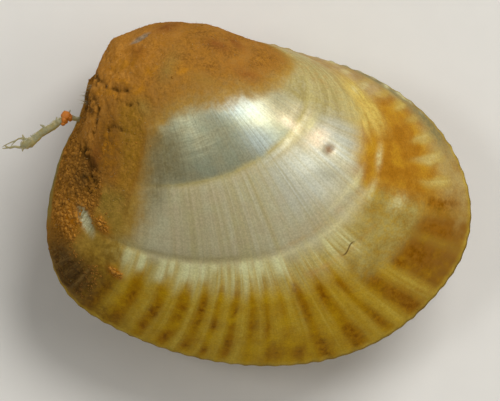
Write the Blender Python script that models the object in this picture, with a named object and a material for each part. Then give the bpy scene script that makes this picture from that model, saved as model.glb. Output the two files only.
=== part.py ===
"""Closed shell of a small nut clam, with both valves, lying on its left valve.

The right valve faces up, its beak to the upper left, its long rounded front end towards +X.
Each valve is one margin outline that coiled about its beak while it grew, so every older
margin is the same outline, smaller and turned further round the beak. The origin is the
centre of the small flat spot that the shell rests on. Lengths are in millimetres, and MM
turns them into metres.
"""

import math

import bmesh
import bpy
import numpy as np
from mathutils import Vector, noise
from mathutils.bvhtree import BVHTree

MM = 0.001

# Outline of the valve margin, from the hinge line in front of the beak clockwise round the
# shell as seen from outside the right valve, in mm from the beak.
MARGIN_POINTS = (
    (2.84, 0.48), (5.15, 0.58), (6.27, 0.25), (7.73, -0.18), (9.18, -0.88), (10.50, -1.96),
    (11.42, -3.38), (11.79, -5.00), (11.52, -6.39), (10.63, -7.71), (9.18, -8.98), (7.20, -9.82),
    (4.75, -10.05), (2.34, -9.69), (0.03, -8.80), (-1.58, -7.61), (-2.17, -5.89), (-1.94, -4.10),
    (-1.41, -2.62), (-0.99, -1.40), (-0.79, -0.58), (-0.28, -0.20), (0.45, 0.08),
)

# Coiling. The hinge axis leans out of the hinge plane, which twists the older margins forwards.
BEAK_HEIGHT = 0.15
HINGE_AXIS = (-0.902, -0.387, 0.193)
COIL_RATE = 1.29
COIL_FADE = 0.365
BEAK_SCALE = 0.05
GROWTH_LINES = (0.556, 0.728)
GROWTH_GROOVE = 0.05

# Wall of the valves and the gap that keeps the two apart at the margin.
WALL = 0.45
LIP = 0.40
HALF_GAP = 0.02
CAVITY_CENTRE = (3.9, -4.2)
CAVITY_STEP = 0.05

# Rust-like crust over the beak and the steep rear end.
CRUST = 0.15
CRUST_LUMPS = 0.09
CRUST_LUMP_SIZE = 0.70
BARE_BEAK = 4.0

# The flat spot, in mm from the beak, and the height of the hinge plane above it.
REST_SPOT = (4.17, -3.83)
REST_HEIGHT = 3.90

# Stiff thread held in the crust of the notch behind the beak, in mm from the beak.
THREAD_RADIUS = 0.11
THREAD_ROUTE = (
    (-1.42, -1.88, 0.30), (-1.68, -1.92, 0.34), (-2.11, -2.20, 0.38), (-2.61, -2.50, 0.36),
    (-2.94, -2.74, 0.34), (-3.32, -2.79, 0.36), (-3.70, -2.86, 0.38),
)
THREAD_POINTS = 15

# Facets of each valve: columns round the margin, rows from beak to margin and across the inside.
COLUMNS = 64
OUTER_ROWS = 25
INNER_ROWS = 8
PLACE = Vector((-REST_SPOT[0], -REST_SPOT[1], REST_HEIGHT)) * MM


def clear_scene():
    """Remove every object that the scene starts with."""
    for item in list(bpy.data.objects):
        bpy.data.objects.remove(item, do_unlink=True)


def make_material(name, colour, roughness, metallic=0.0):
    """Return a Principled BSDF material."""
    material = bpy.data.materials.new(name)
    material.use_nodes = True
    shader = material.node_tree.nodes["Principled BSDF"]
    shader.inputs["Base Color"].default_value = (*colour, 1.0)
    shader.inputs["Roughness"].default_value = roughness
    shader.inputs["Metallic"].default_value = metallic
    return material


def smooth_step(low, high, value):
    """Rise smoothly from 0 at low to 1 at high."""
    part = min(max((value - low) / (high - low), 0.0), 1.0)
    return part * part * (3.0 - 2.0 * part)


def closed_spline(points, count):
    """Return count points, evenly spaced by length, on the smooth closed curve through points."""
    knots = np.array(points)
    ahead = np.roll(knots, -1, axis=0)
    span = np.linalg.norm(ahead - knots, axis=1)
    before = np.roll(span, 1)
    size = len(knots)
    system = np.zeros((size, size))
    for i in range(size):
        system[i, i - 1] += span[i]
        system[i, i] += 2.0 * (span[i] + before[i])
        system[i, (i + 1) % size] += before[i]
    slope = (ahead - knots) / span[:, None]
    side = 3.0 * (span[:, None] * np.roll(slope, 1, axis=0) + before[:, None] * slope)
    tangent = np.linalg.solve(system, side)
    fine = []
    for i in range(size):
        for u in np.linspace(0.0, 1.0, 40, endpoint=False):
            start = (1.0 + 2.0 * u) * (1.0 - u) ** 2 * knots[i]
            end = u * u * (3.0 - 2.0 * u) * ahead[i]
            leave = u * (1.0 - u) ** 2 * span[i] * tangent[i]
            arrive = u * u * (u - 1.0) * span[i] * tangent[(i + 1) % size]
            fine.append(start + end + leave + arrive)
    fine.append(fine[0])
    fine = np.array(fine)
    length = np.concatenate(([0.0], np.cumsum(np.linalg.norm(np.diff(fine, axis=0), axis=1))))
    wanted = np.linspace(0.0, length[-1], count, endpoint=False)
    return np.column_stack([np.interp(wanted, length, fine[:, k]) for k in range(2)])


def turn_matrix(axis, angle):
    """Return the rotation by angle about a unit axis through the beak."""
    x, y, z = axis
    cross = np.array([[0.0, -z, y], [z, 0.0, -x], [-y, x, 0.0]])
    return np.eye(3) + math.sin(angle) * cross + (1.0 - math.cos(angle)) * (cross @ cross)


def older_margin(margin, scale):
    """Return the margin as it lay when the shell had the given share of its size."""
    axis = np.array(HINGE_AXIS)
    axis = axis / np.linalg.norm(axis)
    angle = COIL_RATE * (1.0 - scale ** COIL_FADE) / COIL_FADE
    beak = np.array([0.0, 0.0, BEAK_HEIGHT])
    flat = np.column_stack([margin, np.zeros(len(margin))])
    return beak + scale * (flat - beak) @ turn_matrix(axis, angle).T


def row_scales():
    """Return the growth scales of the outer rows, from the beak to the margin."""
    share = np.linspace(0.0, 1.0, OUTER_ROWS)
    scales = BEAK_SCALE + (1.0 - BEAK_SCALE) * share ** 1.15
    for line in GROWTH_LINES:
        scales[np.abs(scales - line).argmin()] = line
    return [float(scale) for scale in scales]


def crust_share(point, scale):
    """Return how much crust lies at a point: 1 at the beak and on the steep rear end."""
    beak_cover = 1.0 - smooth_step(0.30, 0.48, scale)
    rear_cover = 1.0 - smooth_step(-1.2, 0.2, point.x + 0.25 * point.z)
    rear_end = smooth_step(-8.6, -6.8, point.y)
    return max(beak_cover, rear_cover * rear_end) * (1.0 - smooth_step(0.96, 1.0, scale))


def relief(point, scale):
    """Return the height of crust, lumps and growth grooves above the smooth shell."""
    share = crust_share(point, scale) * smooth_step(-0.4, BARE_BEAK, point.length)
    lump = 0.5 + 0.5 * noise.noise(point / CRUST_LUMP_SIZE)
    height = share * (CRUST + CRUST_LUMPS * lump)
    for line in GROWTH_LINES:
        height -= GROWTH_GROOVE * (1.0 - share) * math.exp(-((scale - line) / 0.012) ** 2)
    return height


def inner_point(tree, spot):
    """Return the inside surface over a spot of the hinge plane, one wall below the outside."""
    x, y = spot
    hit = tree.ray_cast(Vector((x, y, 50.0)), Vector((0.0, 0.0, -1.0)))
    height = hit[0].z - WALL if hit[0] is not None else 0.0
    while height > HALF_GAP:
        point = Vector((x, y, height))
        if tree.find_nearest(point)[3] >= WALL:
            return point
        height -= CAVITY_STEP
    return Vector((x, y, HALF_GAP))


def outer_rows(margin):
    """Return the outer surface, row by row from the beak, in mm from the beak."""
    rows = []
    for scale in row_scales():
        ring = older_margin(margin, scale)
        ring[:, 2] = np.maximum(ring[:, 2], 0.0) + HALF_GAP
        rows.append(ring)
    return rows


def lip_inset(margin):
    """Return the inner edge of the lip: the margin moved inwards by the lip's width."""
    inwards = np.array(CAVITY_CENTRE) - margin
    return margin + LIP * inwards / np.linalg.norm(inwards, axis=1)[:, None]


def inner_spot(lip, column, row):
    """Return the spot in the hinge plane under an inside vertex."""
    share = math.cos(0.5 * math.pi * (row - 1) / INNER_ROWS)
    centre = np.array(CAVITY_CENTRE)
    return centre + share * (lip[column] - centre)


def valve_mesh(name, side, material):
    """Return the mesh of one valve: side 1 is the upper right valve, -1 the lower left one."""
    margin = closed_spline(MARGIN_POINTS, COLUMNS)
    rows = outer_rows(margin)
    scales = row_scales()
    lip = lip_inset(margin)
    total = OUTER_ROWS + INNER_ROWS + 1
    shape = bmesh.new()
    bmesh.ops.create_uvsphere(shape, u_segments=COLUMNS, v_segments=total, radius=1.0)
    place = {}
    for vert in shape.verts:
        row = round(math.acos(max(-1.0, min(1.0, vert.co.z))) / math.pi * total)
        column = round(-math.atan2(vert.co.y, vert.co.x) / (2.0 * math.pi) * COLUMNS) % COLUMNS
        place[vert] = (row, column)
    for vert, (row, column) in place.items():
        if row == 0:
            vert.co = Vector(np.mean(rows[0], axis=0))
        elif row <= OUTER_ROWS:
            vert.co = Vector(rows[row - 1][column])
        else:
            vert.co = Vector((*inner_spot(lip, column, row - OUTER_ROWS), HALF_GAP))
    shape.normal_update()
    for vert, (row, column) in place.items():
        if 0 < row < OUTER_ROWS:
            vert.co += relief(vert.co, scales[row - 1]) * vert.normal
            vert.co.z = max(vert.co.z, HALF_GAP)
    tree = BVHTree.FromBMesh(shape)
    for vert, (row, column) in place.items():
        if row > OUTER_ROWS + 1:
            vert.co = inner_point(tree, vert.co.xy)
    for vert in shape.verts:
        vert.co.z = side * min(vert.co.z, REST_HEIGHT if side < 0 else vert.co.z)
        vert.co *= MM
    bmesh.ops.triangulate(shape, faces=shape.faces)
    bmesh.ops.recalc_face_normals(shape, faces=shape.faces)
    mesh = bpy.data.meshes.new(name)
    shape.to_mesh(mesh)
    shape.free()
    mesh.materials.append(material)
    mesh.shade_smooth()
    mesh.set_sharp_from_angle(angle=math.radians(40.0))
    return mesh


def add_valve(collection, name, side, material):
    """Add one valve to the collection, placed over the flat spot."""
    valve = bpy.data.objects.new(name, valve_mesh(name, side, material))
    valve.location = PLACE
    collection.objects.link(valve)
    return valve


def open_spline(points, count):
    """Return count points on a smooth open curve through points."""
    knots = [2.0 * np.array(points[0]) - np.array(points[1])]
    knots += [np.array(point) for point in points]
    knots.append(2.0 * knots[-1] - knots[-2])
    runs = len(points) - 1
    curve = []
    for step in np.linspace(0.0, runs, count):
        i = min(int(step), runs - 1)
        u = step - i
        before, start, end, after = knots[i:i + 4]
        curve.append(0.5 * (2.0 * start + (end - before) * u
                            + (2.0 * before - 5.0 * start + 4.0 * end - after) * u ** 2
                            + (3.0 * start - before - 3.0 * end + after) * u ** 3))
    return curve


def add_thread(collection, material):
    """Add the thread: a thin tube along its route."""
    curve = bpy.data.curves.new("thread", "CURVE")
    curve.dimensions = "3D"
    curve.bevel_depth = THREAD_RADIUS * MM
    curve.bevel_resolution = 2
    curve.use_fill_caps = True
    route = open_spline(THREAD_ROUTE, THREAD_POINTS)
    spline = curve.splines.new("POLY")
    spline.points.add(len(route) - 1)
    for point, spot in zip(spline.points, route):
        point.co = (*(spot * MM), 1.0)
    curve.materials.append(material)
    thread = bpy.data.objects.new("thread", curve)
    thread.location = PLACE
    collection.objects.link(thread)
    return thread


def main():
    """Build the shell."""
    clear_scene()
    collection = bpy.data.collections.new("nut_clam_shell")
    bpy.context.scene.collection.children.link(collection)
    shell = make_material("shell", (0.48, 0.36, 0.18), 0.45)
    fibre = make_material("thread", (0.50, 0.44, 0.27), 0.60)
    add_valve(collection, "right_valve", 1, shell)
    add_valve(collection, "left_valve", -1, shell)
    add_thread(collection, fibre)


main()
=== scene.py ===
"""Looks of a closed nut clam shell: two pearly valves under a horn coloured skin, rust crust
over the beak and the rear end, and a half clear thread held in the crust.

The shell lies on its left valve, so the right valve faces up. Lengths are in millimetres from
the beak, x towards the long front end and z out of the right valve, and place_of turns them
into the metres of the frame. Markings are given in growth coordinates: scale is the share of
its size that the shell had when it made that line of shell (0 at the beak, 1 at the margin),
and ray is the place round the margin, 0 to 1, that a rib through the point ends at.
"""

import logging
import math
from dataclasses import dataclass
from enum import Enum

import bmesh
import bpy
import numpy as np
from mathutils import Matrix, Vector, noise
from mathutils.bvhtree import BVHTree


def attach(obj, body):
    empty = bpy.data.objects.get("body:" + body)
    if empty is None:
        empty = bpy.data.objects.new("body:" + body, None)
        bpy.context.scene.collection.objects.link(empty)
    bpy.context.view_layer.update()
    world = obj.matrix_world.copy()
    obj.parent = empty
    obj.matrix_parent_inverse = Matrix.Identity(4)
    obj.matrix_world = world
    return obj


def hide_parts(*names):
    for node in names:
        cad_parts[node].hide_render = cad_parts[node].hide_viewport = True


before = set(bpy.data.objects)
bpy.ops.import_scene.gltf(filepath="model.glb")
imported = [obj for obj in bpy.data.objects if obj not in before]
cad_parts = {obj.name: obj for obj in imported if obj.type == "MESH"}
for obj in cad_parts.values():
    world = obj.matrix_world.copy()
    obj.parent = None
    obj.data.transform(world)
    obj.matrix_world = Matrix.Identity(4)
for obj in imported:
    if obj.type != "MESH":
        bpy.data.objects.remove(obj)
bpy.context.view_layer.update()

LOG = logging.getLogger("nut_clam_shell")
BODY = "root"
MM = 0.001
REST_SPOT = (4.17, -3.83)
REST_HEIGHT = 3.90
HALF_GAP = 0.02
FAR_ABOVE = 50.0
DOWN = Vector((0.0, 0.0, -1.0))
CRENULATIONS = 80
PHOTO_BEAK = (114.0, 61.5)
PHOTO_SIZE = (500, 401)
MM_PER_PIXEL = 14.0 / 424.0

# A mark is pixel x and y, half length and half width in mm, and lean in degrees. A window is
# low end, high end and softness, or only the two ends of a rise.
Colour = tuple[float, float, float]
Spot = tuple[float, float]
Mark = tuple[float, float, float, float, float]
Window = tuple[float, ...]
Screen = tuple[int, int, int]
Look = tuple[object, object, object]
Patterns = dict["Grain", bpy.types.NodeSocket]


class Side(Enum):
    """Which valve a mesh is: the value is the way it bulges."""

    RIGHT = 1
    LEFT = -1


def tone(red: int, green: int, blue: int) -> Colour:
    """Return a linear colour from screen values of 0 to 255.

    Args:
        red: Red on screen.
        green: Green on screen.
        blue: Blue on screen.

    Returns:
        The colour as shaders take it.
    """
    parts = [value / 255.0 for value in (red, green, blue)]
    linear = [part / 12.92 if part < 0.04045 else ((part + 0.055) / 1.055) ** 2.4 for part in parts]
    return (linear[0], linear[1], linear[2])


def rise(low: float, high: float, value: np.ndarray) -> np.ndarray:
    """Rise smoothly from 0 at low to 1 at high.

    Args:
        low: Value where the rise starts.
        high: Value where it ends.
        value: Values to weigh.

    Returns:
        Weights from 0 to 1.
    """
    part = np.clip((value - low) / (high - low), 0.0, 1.0)
    return part * part * (3.0 - 2.0 * part)


def fall(low: float, high: float, value: np.ndarray) -> np.ndarray:
    """Fall smoothly from 1 at low to 0 at high."""
    return 1.0 - rise(low, high, value)


def between(low: float, high: float, soft: float, value: np.ndarray) -> np.ndarray:
    """Return 1 between low and high, fading to 0 over soft past each end.

    Args:
        low: Lower end.
        high: Upper end.
        soft: Width of the fade.
        value: Values to weigh.

    Returns:
        Weights from 0 to 1.
    """
    return rise(low - soft, low + soft, value) * fall(high - soft, high + soft, value)


def weigh(window: Window, value: np.ndarray) -> np.ndarray:
    """Weigh values by a window: a band if it has three numbers, a rise if it has two."""
    return between(*window, value) if len(window) == 3 else rise(*window, value)


def hump(place: float, spread: float, value: np.ndarray) -> np.ndarray:
    """Return a soft hump, 1 at place.

    Args:
        place: Value at the top.
        spread: Half width.
        value: Values to weigh.

    Returns:
        Weights from 0 to 1.
    """
    return np.exp(-((value - place) / spread) ** 2)


def round_gap(place: float, value: np.ndarray) -> np.ndarray:
    """Return how far values lie from a place on a ring of length 1, from -0.5 to 0.5."""
    return (value - place + 0.5) % 1.0 - 0.5


def place_of(point: tuple[float, float, float]) -> Vector:
    """Return a point given in mm from the beak as a place in the frame."""
    x, y, z = point
    return Vector((x - REST_SPOT[0], y - REST_SPOT[1], z + REST_HEIGHT)) * MM


def framed(points: np.ndarray) -> np.ndarray:
    """Return points given in mm from the beak as places in the frame."""
    return (points + (-REST_SPOT[0], -REST_SPOT[1], REST_HEIGHT)) * MM


def add_object(name: str, data: bpy.types.ID) -> bpy.types.Object:
    """Add an object with this data to the scene, and return it."""
    thing = bpy.data.objects.new(name, data)
    bpy.context.scene.collection.objects.link(thing)
    return thing


def store(mesh: bpy.types.Mesh, name: str, values: np.ndarray) -> None:
    """Store values at a mesh's points: numbers, or vectors where they have three columns."""
    kind, field = ("FLOAT", "value") if values.ndim == 1 else ("FLOAT_VECTOR", "vector")
    mesh.attributes.new(name, kind, "POINT").data.foreach_set(field, values.ravel())


def photo_spot(x: float, y: float) -> Spot:
    """Return a pixel of the photograph in mm from the beak, in the hinge plane."""
    return ((x - PHOTO_BEAK[0]) * MM_PER_PIXEL, (PHOTO_BEAK[1] - y) * MM_PER_PIXEL)


def cloud(points: np.ndarray, size: float, octaves: int, seed: float) -> np.ndarray:
    """Return smooth random heights.

    Args:
        points: Places, with x, y and z in the last axis.
        size: Size of the largest lumps, in the points' unit.
        octaves: How many finer layers are added.
        seed: Shift that gives another pattern.

    Returns:
        Heights from about -1 to 1.
    """
    flat = (points.reshape(-1, 3) / size + seed).tolist()
    values = [noise.fractal(spot, 0.8, 2.0, octaves) for spot in flat]
    return np.array(values).reshape(points.shape[:-1])


def grains(points: np.ndarray, size: float, seed: float) -> np.ndarray:
    """Return the heights of packed round grains.

    Args:
        points: Places, with x, y and z in the last axis.
        size: Distance from grain to grain, in the points' unit.
        seed: Shift that gives another pattern.

    Returns:
        Heights from 0 between the grains to 1 on top of them.
    """
    flat = (points.reshape(-1, 3) / size + seed).tolist()
    near = [noise.voronoi(spot)[0][0] for spot in flat]
    return np.clip(1.0 - np.array(near).reshape(points.shape[:-1]) ** 2 * 1.6, 0.0, 1.0)


@dataclass(frozen=True)
class GrowthPlan:
    """How a valve grew: one margin outline that coiled about the beak."""

    margin_points: tuple[Spot, ...] = (
        (2.84, 0.48), (5.15, 0.58), (6.27, 0.25), (7.73, -0.18), (9.18, -0.88), (10.50, -1.96),
        (11.42, -3.38), (11.79, -5.00), (11.52, -6.39), (10.63, -7.71), (9.18, -8.98),
        (7.20, -9.82), (4.75, -10.05), (2.34, -9.69), (0.03, -8.80), (-1.58, -7.61),
        (-2.17, -5.89), (-1.94, -4.10), (-1.41, -2.62), (-0.99, -1.40), (-0.79, -0.58),
        (-0.28, -0.20), (0.45, 0.08),
    )
    beak_height: float = 0.15
    hinge_axis: tuple[float, float, float] = (-0.902, -0.387, 0.193)
    coil_rate: float = 1.29
    coil_fade: float = 0.365
    beak_scale: float = 0.05
    parting: float = 0.51
    parting_spread: float = 0.10
    parting_lean: float = 12.0
    parting_scales: tuple[float, float] = (0.70, 0.80)
    straight_below: float = 0.30

    def margin(self, count: int) -> np.ndarray:
        """Return the margin outline.

        Args:
            count: How many points, evenly spaced by length.

        Returns:
            The points, count by 2.
        """
        knots = np.array(self.margin_points)
        ahead = np.roll(knots, -1, axis=0)
        span = np.linalg.norm(ahead - knots, axis=1)
        before = np.roll(span, 1)
        size = len(knots)
        system = np.zeros((size, size))
        for i in range(size):
            system[i, i - 1] += span[i]
            system[i, i] += 2.0 * (span[i] + before[i])
            system[i, (i + 1) % size] += before[i]
        slope = (ahead - knots) / span[:, None]
        side = 3.0 * (span[:, None] * np.roll(slope, 1, axis=0) + before[:, None] * slope)
        tangent = np.linalg.solve(system, side)
        share = np.linspace(0.0, 1.0, 60, endpoint=False)[:, None]
        fine = []
        for i in range(size):
            start = (1.0 + 2.0 * share) * (1.0 - share) ** 2 * knots[i]
            end = share * share * (3.0 - 2.0 * share) * ahead[i]
            leave = share * (1.0 - share) ** 2 * span[i] * tangent[i]
            arrive = share * share * (share - 1.0) * span[i] * tangent[(i + 1) % size]
            fine.append(start + end + leave + arrive)
        curve = np.concatenate(fine + [fine[0][:1]])
        steps = np.linalg.norm(np.diff(curve, axis=0), axis=1)
        length = np.concatenate(([0.0], np.cumsum(steps)))
        wanted = np.linspace(0.0, length[-1], count, endpoint=False)
        return np.column_stack([np.interp(wanted, length, curve[:, k]) for k in range(2)])

    def turn(self, angle: float) -> np.ndarray:
        """Return the rotation by an angle about the hinge axis."""
        x, y, z = np.array(self.hinge_axis) / np.linalg.norm(self.hinge_axis)
        cross = np.array([[0.0, -z, y], [z, 0.0, -x], [-y, x, 0.0]])
        return np.eye(3) + math.sin(angle) * cross + (1.0 - math.cos(angle)) * (cross @ cross)

    def surface(self, scales: np.ndarray, columns: int) -> np.ndarray:
        """Return the smooth outside of the valve.

        Args:
            scales: Growth scale of each row.
            columns: Points round each row.

        Returns:
            The points, rows by columns by 3.
        """
        beak = np.array([0.0, 0.0, self.beak_height])
        outline = self.margin(columns)
        flat = np.column_stack([outline, np.zeros(columns)]) - beak
        rows = []
        for scale in scales:
            angle = self.coil_rate * (1.0 - scale ** self.coil_fade) / self.coil_fade
            rows.append(beak + scale * flat @ self.turn(angle).T)
        points = np.array(rows)
        points[..., 2] = np.maximum(points[..., 2], 0.0) + HALF_GAP
        return points

    def rays(self, points: np.ndarray, scales: np.ndarray) -> np.ndarray:
        """Follow the ribs from the margin back to the beak.

        The ribs cross the growth lines at right angles, and lean apart on both sides of a
        parting line in the outer band.

        Args:
            points: The surface from surface().
            scales: Growth scale of each row.

        Returns:
            The ray coordinate of each point, 0 to 1 round the margin.
        """
        columns = points.shape[1]
        by_scale = np.gradient(points, scales, axis=0)
        by_place = (np.roll(points, -1, axis=1) - np.roll(points, 1, axis=1)) * columns / 2.0
        speed = np.linalg.norm(by_place, axis=2)
        slip = (by_scale * by_place).sum(axis=2) / speed ** 2
        across = np.linalg.norm(by_scale - slip[..., None] * by_place, axis=2)
        place = np.arange(columns) / columns
        side = (place - self.parting) / self.parting_spread
        lean = np.tan(np.radians(self.parting_lean) * side * np.exp((1.0 - side ** 2) / 2.0))
        outer = rise(*self.parting_scales, scales)[:, None]
        rate = -slip + lean * across / speed * outer
        ring = np.append(place, 1.0)
        ray = place.copy()
        found = np.zeros(points.shape[:2])
        for row in range(len(scales) - 1, -1, -1):
            order = np.maximum.accumulate(ray)
            ends = np.concatenate((order - 1.0, order, order + 1.0))
            names = np.concatenate((place - 1.0, place, place + 1.0))
            found[row] = np.interp(place, ends, names)
            if row and scales[row] > self.straight_below:
                pace = np.interp(ray % 1.0, ring, np.append(rate[row], rate[row][0]))
                ray = ray + pace * (scales[row - 1] - scales[row])
        return found % 1.0


def normals_of(points: np.ndarray) -> np.ndarray:
    """Return the outward unit normals of a grid whose columns close on themselves.

    Args:
        points: The points, rows by columns by 3.

    Returns:
        The normals, rows by columns by 3.
    """
    along = np.roll(points, -1, axis=1) - np.roll(points, 1, axis=1)
    out = np.gradient(points, axis=0)
    normal = np.cross(along, out)
    length = np.linalg.norm(normal, axis=2, keepdims=True)
    return normal / np.maximum(length, 1e-12)


@dataclass
class ShellField:
    """Coordinates of every point of a valve's outside."""

    points: np.ndarray
    scale: np.ndarray
    ray: np.ndarray
    seed: float

    @property
    def ring(self) -> np.ndarray:
        """Return the growth coordinates as places on a ring, which has no seam."""
        turn = math.tau * self.ray
        return np.stack([np.cos(turn), np.sin(turn), self.scale], axis=-1)

    def near(self, *marks: Mark) -> np.ndarray:
        """Return how close points lie to the nearest of some marks, seen along z.

        Args:
            marks: The marks.

        Returns:
            Weights from 0 to 1.
        """
        total = np.zeros(self.scale.shape)
        for pixel_x, pixel_y, long, wide, lean in marks:
            turn = math.radians(lean)
            spot = photo_spot(pixel_x, pixel_y)
            x = self.points[..., 0] - spot[0]
            y = self.points[..., 1] - spot[1]
            along = (x * math.cos(turn) + y * math.sin(turn)) / long
            across = (y * math.cos(turn) - x * math.sin(turn)) / wide
            total = np.maximum(total, np.exp(-(along ** 2 + across ** 2)))
        return total

    def beside(self, route: tuple[Spot, ...], width: float) -> np.ndarray:
        """Return how close points lie to a line of spots, seen along z.

        Args:
            route: Pixels of the line.
            width: Half width in mm.

        Returns:
            Weights from 0 to 1.
        """
        spots = self.points[..., :2]
        nearest = np.full(spots.shape[:2], 1e9)
        line = np.array([photo_spot(x, y) for x, y in route])
        for start, end in zip(line[:-1], line[1:]):
            run = end - start
            share = np.clip(((spots - start) @ run) / (run @ run), 0.0, 1.0)
            gap = np.linalg.norm(spots - start - share[..., None] * run, axis=2)
            nearest = np.minimum(nearest, gap)
        return np.exp(-(nearest / width) ** 2)


@dataclass(frozen=True)
class Markings:
    """Where each colour and finish lies on a valve, as weights from 0 to 1."""

    growth_lines: tuple[float, float] = (0.556, 0.728)
    crust_edge: tuple[Spot, ...] = (
        (0, 0.56), (0.05, 0.55), (0.1, 0.532), (0.136, 0.49), (0.155, 0.474), (0.239, 0.452),
        (0.301, 0.434), (0.368, 0.415), (0.461, 0.396), (0.559, 0.384), (0.607, 0.384),
        (0.643, 0.396), (0.663, 0.418), (0.67, 0.46), (0.682, 0.54), (0.69, 0.6),
        (0.695, 0.66), (0.72, 0.68), (1, 0.56),
    )
    rear_edge: tuple[Spot, ...] = (
        (0.36, 0.64), (0.416, 0.661), (0.464, 0.672), (0.539, 0.684), (0.597, 0.693),
        (0.642, 0.697), (0.69, 0.704), (0.72, 0.735), (0.76, 0.75), (0.8, 0.735),
        (0.86, 0.722), (0.92, 0.735), (1, 0.755),
    )
    mm_per_scale: float = 20.0
    mm_per_ray: float = 25.6
    pearl_edge: tuple[Spot, ...] = (
        (0.05, 0.48), (0.12, 0.54), (0.15, 0.58), (0.18, 0.63), (0.21, 0.655), (0.26, 0.664),
        (0.285, 0.7), (0.32, 0.74), (0.45, 0.745), (0.52, 0.735), (0.66, 0.735), (0.7, 0.72),
        (0.73, 0.62),
    )
    rays: tuple[tuple[float, float, float], ...] = (
        (0.098, 0.003, 0.55), (0.114, 0.0045, 0.9), (0.129, 0.003, 0.9), (0.148, 0.004, 1),
        (0.166, 0.004, 0.9), (0.183, 0.0045, 0.8), (0.2, 0.0035, 0.5), (0.221, 0.0045, 1),
        (0.242, 0.005, 1), (0.267, 0.0055, 0.9), (0.298, 0.006, 0.3), (0.329, 0.006, 0.3),
        (0.376, 0.008, 0.8), (0.408, 0.008, 1), (0.434, 0.008, 1), (0.467, 0.0085, 1),
        (0.498, 0.01, 0.9), (0.52, 0.009, 0.6), (0.54, 0.0065, 0.8), (0.56, 0.0065, 1),
        (0.58, 0.0055, 0.9), (0.597, 0.005, 0.9), (0.6145, 0.0048, 1), (0.636, 0.0055, 0.9),
        (0.658, 0.0068, 1), (0.683, 0.0062, 0.9), (0.705, 0.0045, 0.5),
    )
    blotches: tuple[tuple[float, float, float, float], ...] = (
        (0.348, 0.9, 0.014, 0.05), (0.372, 0.96, 0.012, 0.035), (0.394, 0.97, 0.009, 0.04),
        (0.39, 0.865, 0.009, 0.022), (0.366, 0.88, 0.007, 0.035), (0.42, 0.85, 0.01, 0.02),
        (0.42, 0.955, 0.006, 0.025), (0.449, 0.96, 0.011, 0.05), (0.452, 0.845, 0.011, 0.035),
        (0.478, 0.96, 0.009, 0.045), (0.487, 0.865, 0.011, 0.03), (0.488, 0.82, 0.011, 0.014),
        (0.503, 0.955, 0.006, 0.018), (0.528, 0.96, 0.008, 0.02), (0.545, 0.87, 0.01, 0.022),
        (0.533, 0.893, 0.007, 0.006), (0.569, 0.85, 0.006, 0.012), (0.57, 0.935, 0.006, 0.03),
        (0.57, 0.89, 0.005, 0.012), (0.588, 0.882, 0.006, 0.02), (0.589, 0.965, 0.005, 0.018),
        (0.605, 0.855, 0.005, 0.045), (0.607, 0.965, 0.005, 0.02), (0.624, 0.89, 0.006, 0.015),
        (0.624, 0.857, 0.006, 0.012), (0.624, 0.96, 0.006, 0.022), (0.646, 0.89, 0.008, 0.03),
        (0.645, 0.945, 0.007, 0.022), (0.669, 0.95, 0.007, 0.035), (0.668, 0.87, 0.006, 0.035),
        (0.695, 0.94, 0.009, 0.06), (0.69, 0.87, 0.008, 0.025), (0.29, 0.9, 0.012, 0.05),
        (0.316, 0.915, 0.01, 0.05), (0.709, 0.935, 0.011, 0.05), (0.386, 0.94, 0.014, 0.045),
    )
    fingers: tuple[tuple[float, float, float], ...] = (
        (0.515, 0.748, 0.01), (0.497, 0.79, 0.01), (0.53, 0.78, 0.009), (0.558, 0.775, 0.009),
        (0.597, 0.765, 0.005), (0.612, 0.79, 0.006), (0.629, 0.795, 0.007), (0.645, 0.785, 0.003),
        (0.653, 0.812, 0.0045), (0.672, 0.795, 0.004), (0.686, 0.79, 0.005),
    )
    gold_spots: tuple[Mark, ...] = (
        (154, 74, 0.2, 0.13, 20), (128, 84, 0.24, 0.1, -15),
        (112, 95, 0.32, 0.12, -10), (110, 150, 0.7, 0.3, 80),
        (140, 92, 0.26, 0.2, 0), (188, 76, 0.5, 0.16, -20),
        (72, 214, 0.75, 0.42, 78), (130, 66, 0.5, 0.28, 30),
    )
    red_spots: tuple[Mark, ...] = (
        (218, 51, 0.42, 0.17, -15), (168, 33, 0.45, 0.16, 12),
        (250, 80, 0.5, 0.2, -25), (236, 48, 0.32, 0.12, -30),
        (140, 58, 0.3, 0.25, 40), (96, 160, 0.6, 0.22, 70),
    )
    olive_spots: tuple[Mark, ...] = (
        (171, 73, 0.52, 0.26, 65), (205, 84, 0.6, 0.2, -20),
        (150, 112, 0.4, 0.22, -50),
    )

    # Routes of the crust's clefts, in pixels, with half widths in mm; they are sunk and darkened
    # with painted shade.
    shaded_crevices: tuple[tuple[tuple[Spot, ...], float], ...] = (
        (((85, 148), (90, 160), (95, 174), (93, 192)), 0.17),
        (((84, 92), (91, 98), (97, 104), (94, 111)), 0.19),
        (((93, 73), (98, 80), (104, 87), (113, 90), (123, 93), (131, 93)), 0.055),
        (((121, 101), (127, 105), (133, 107), (141, 106)), 0.045),
        (((92, 69), (96, 76), (101, 84)), 0.15),
        (((110, 131), (117, 127), (123, 131)), 0.06),
        (((103, 108), (99, 122), (95, 136)), 0.05),
    )
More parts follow.
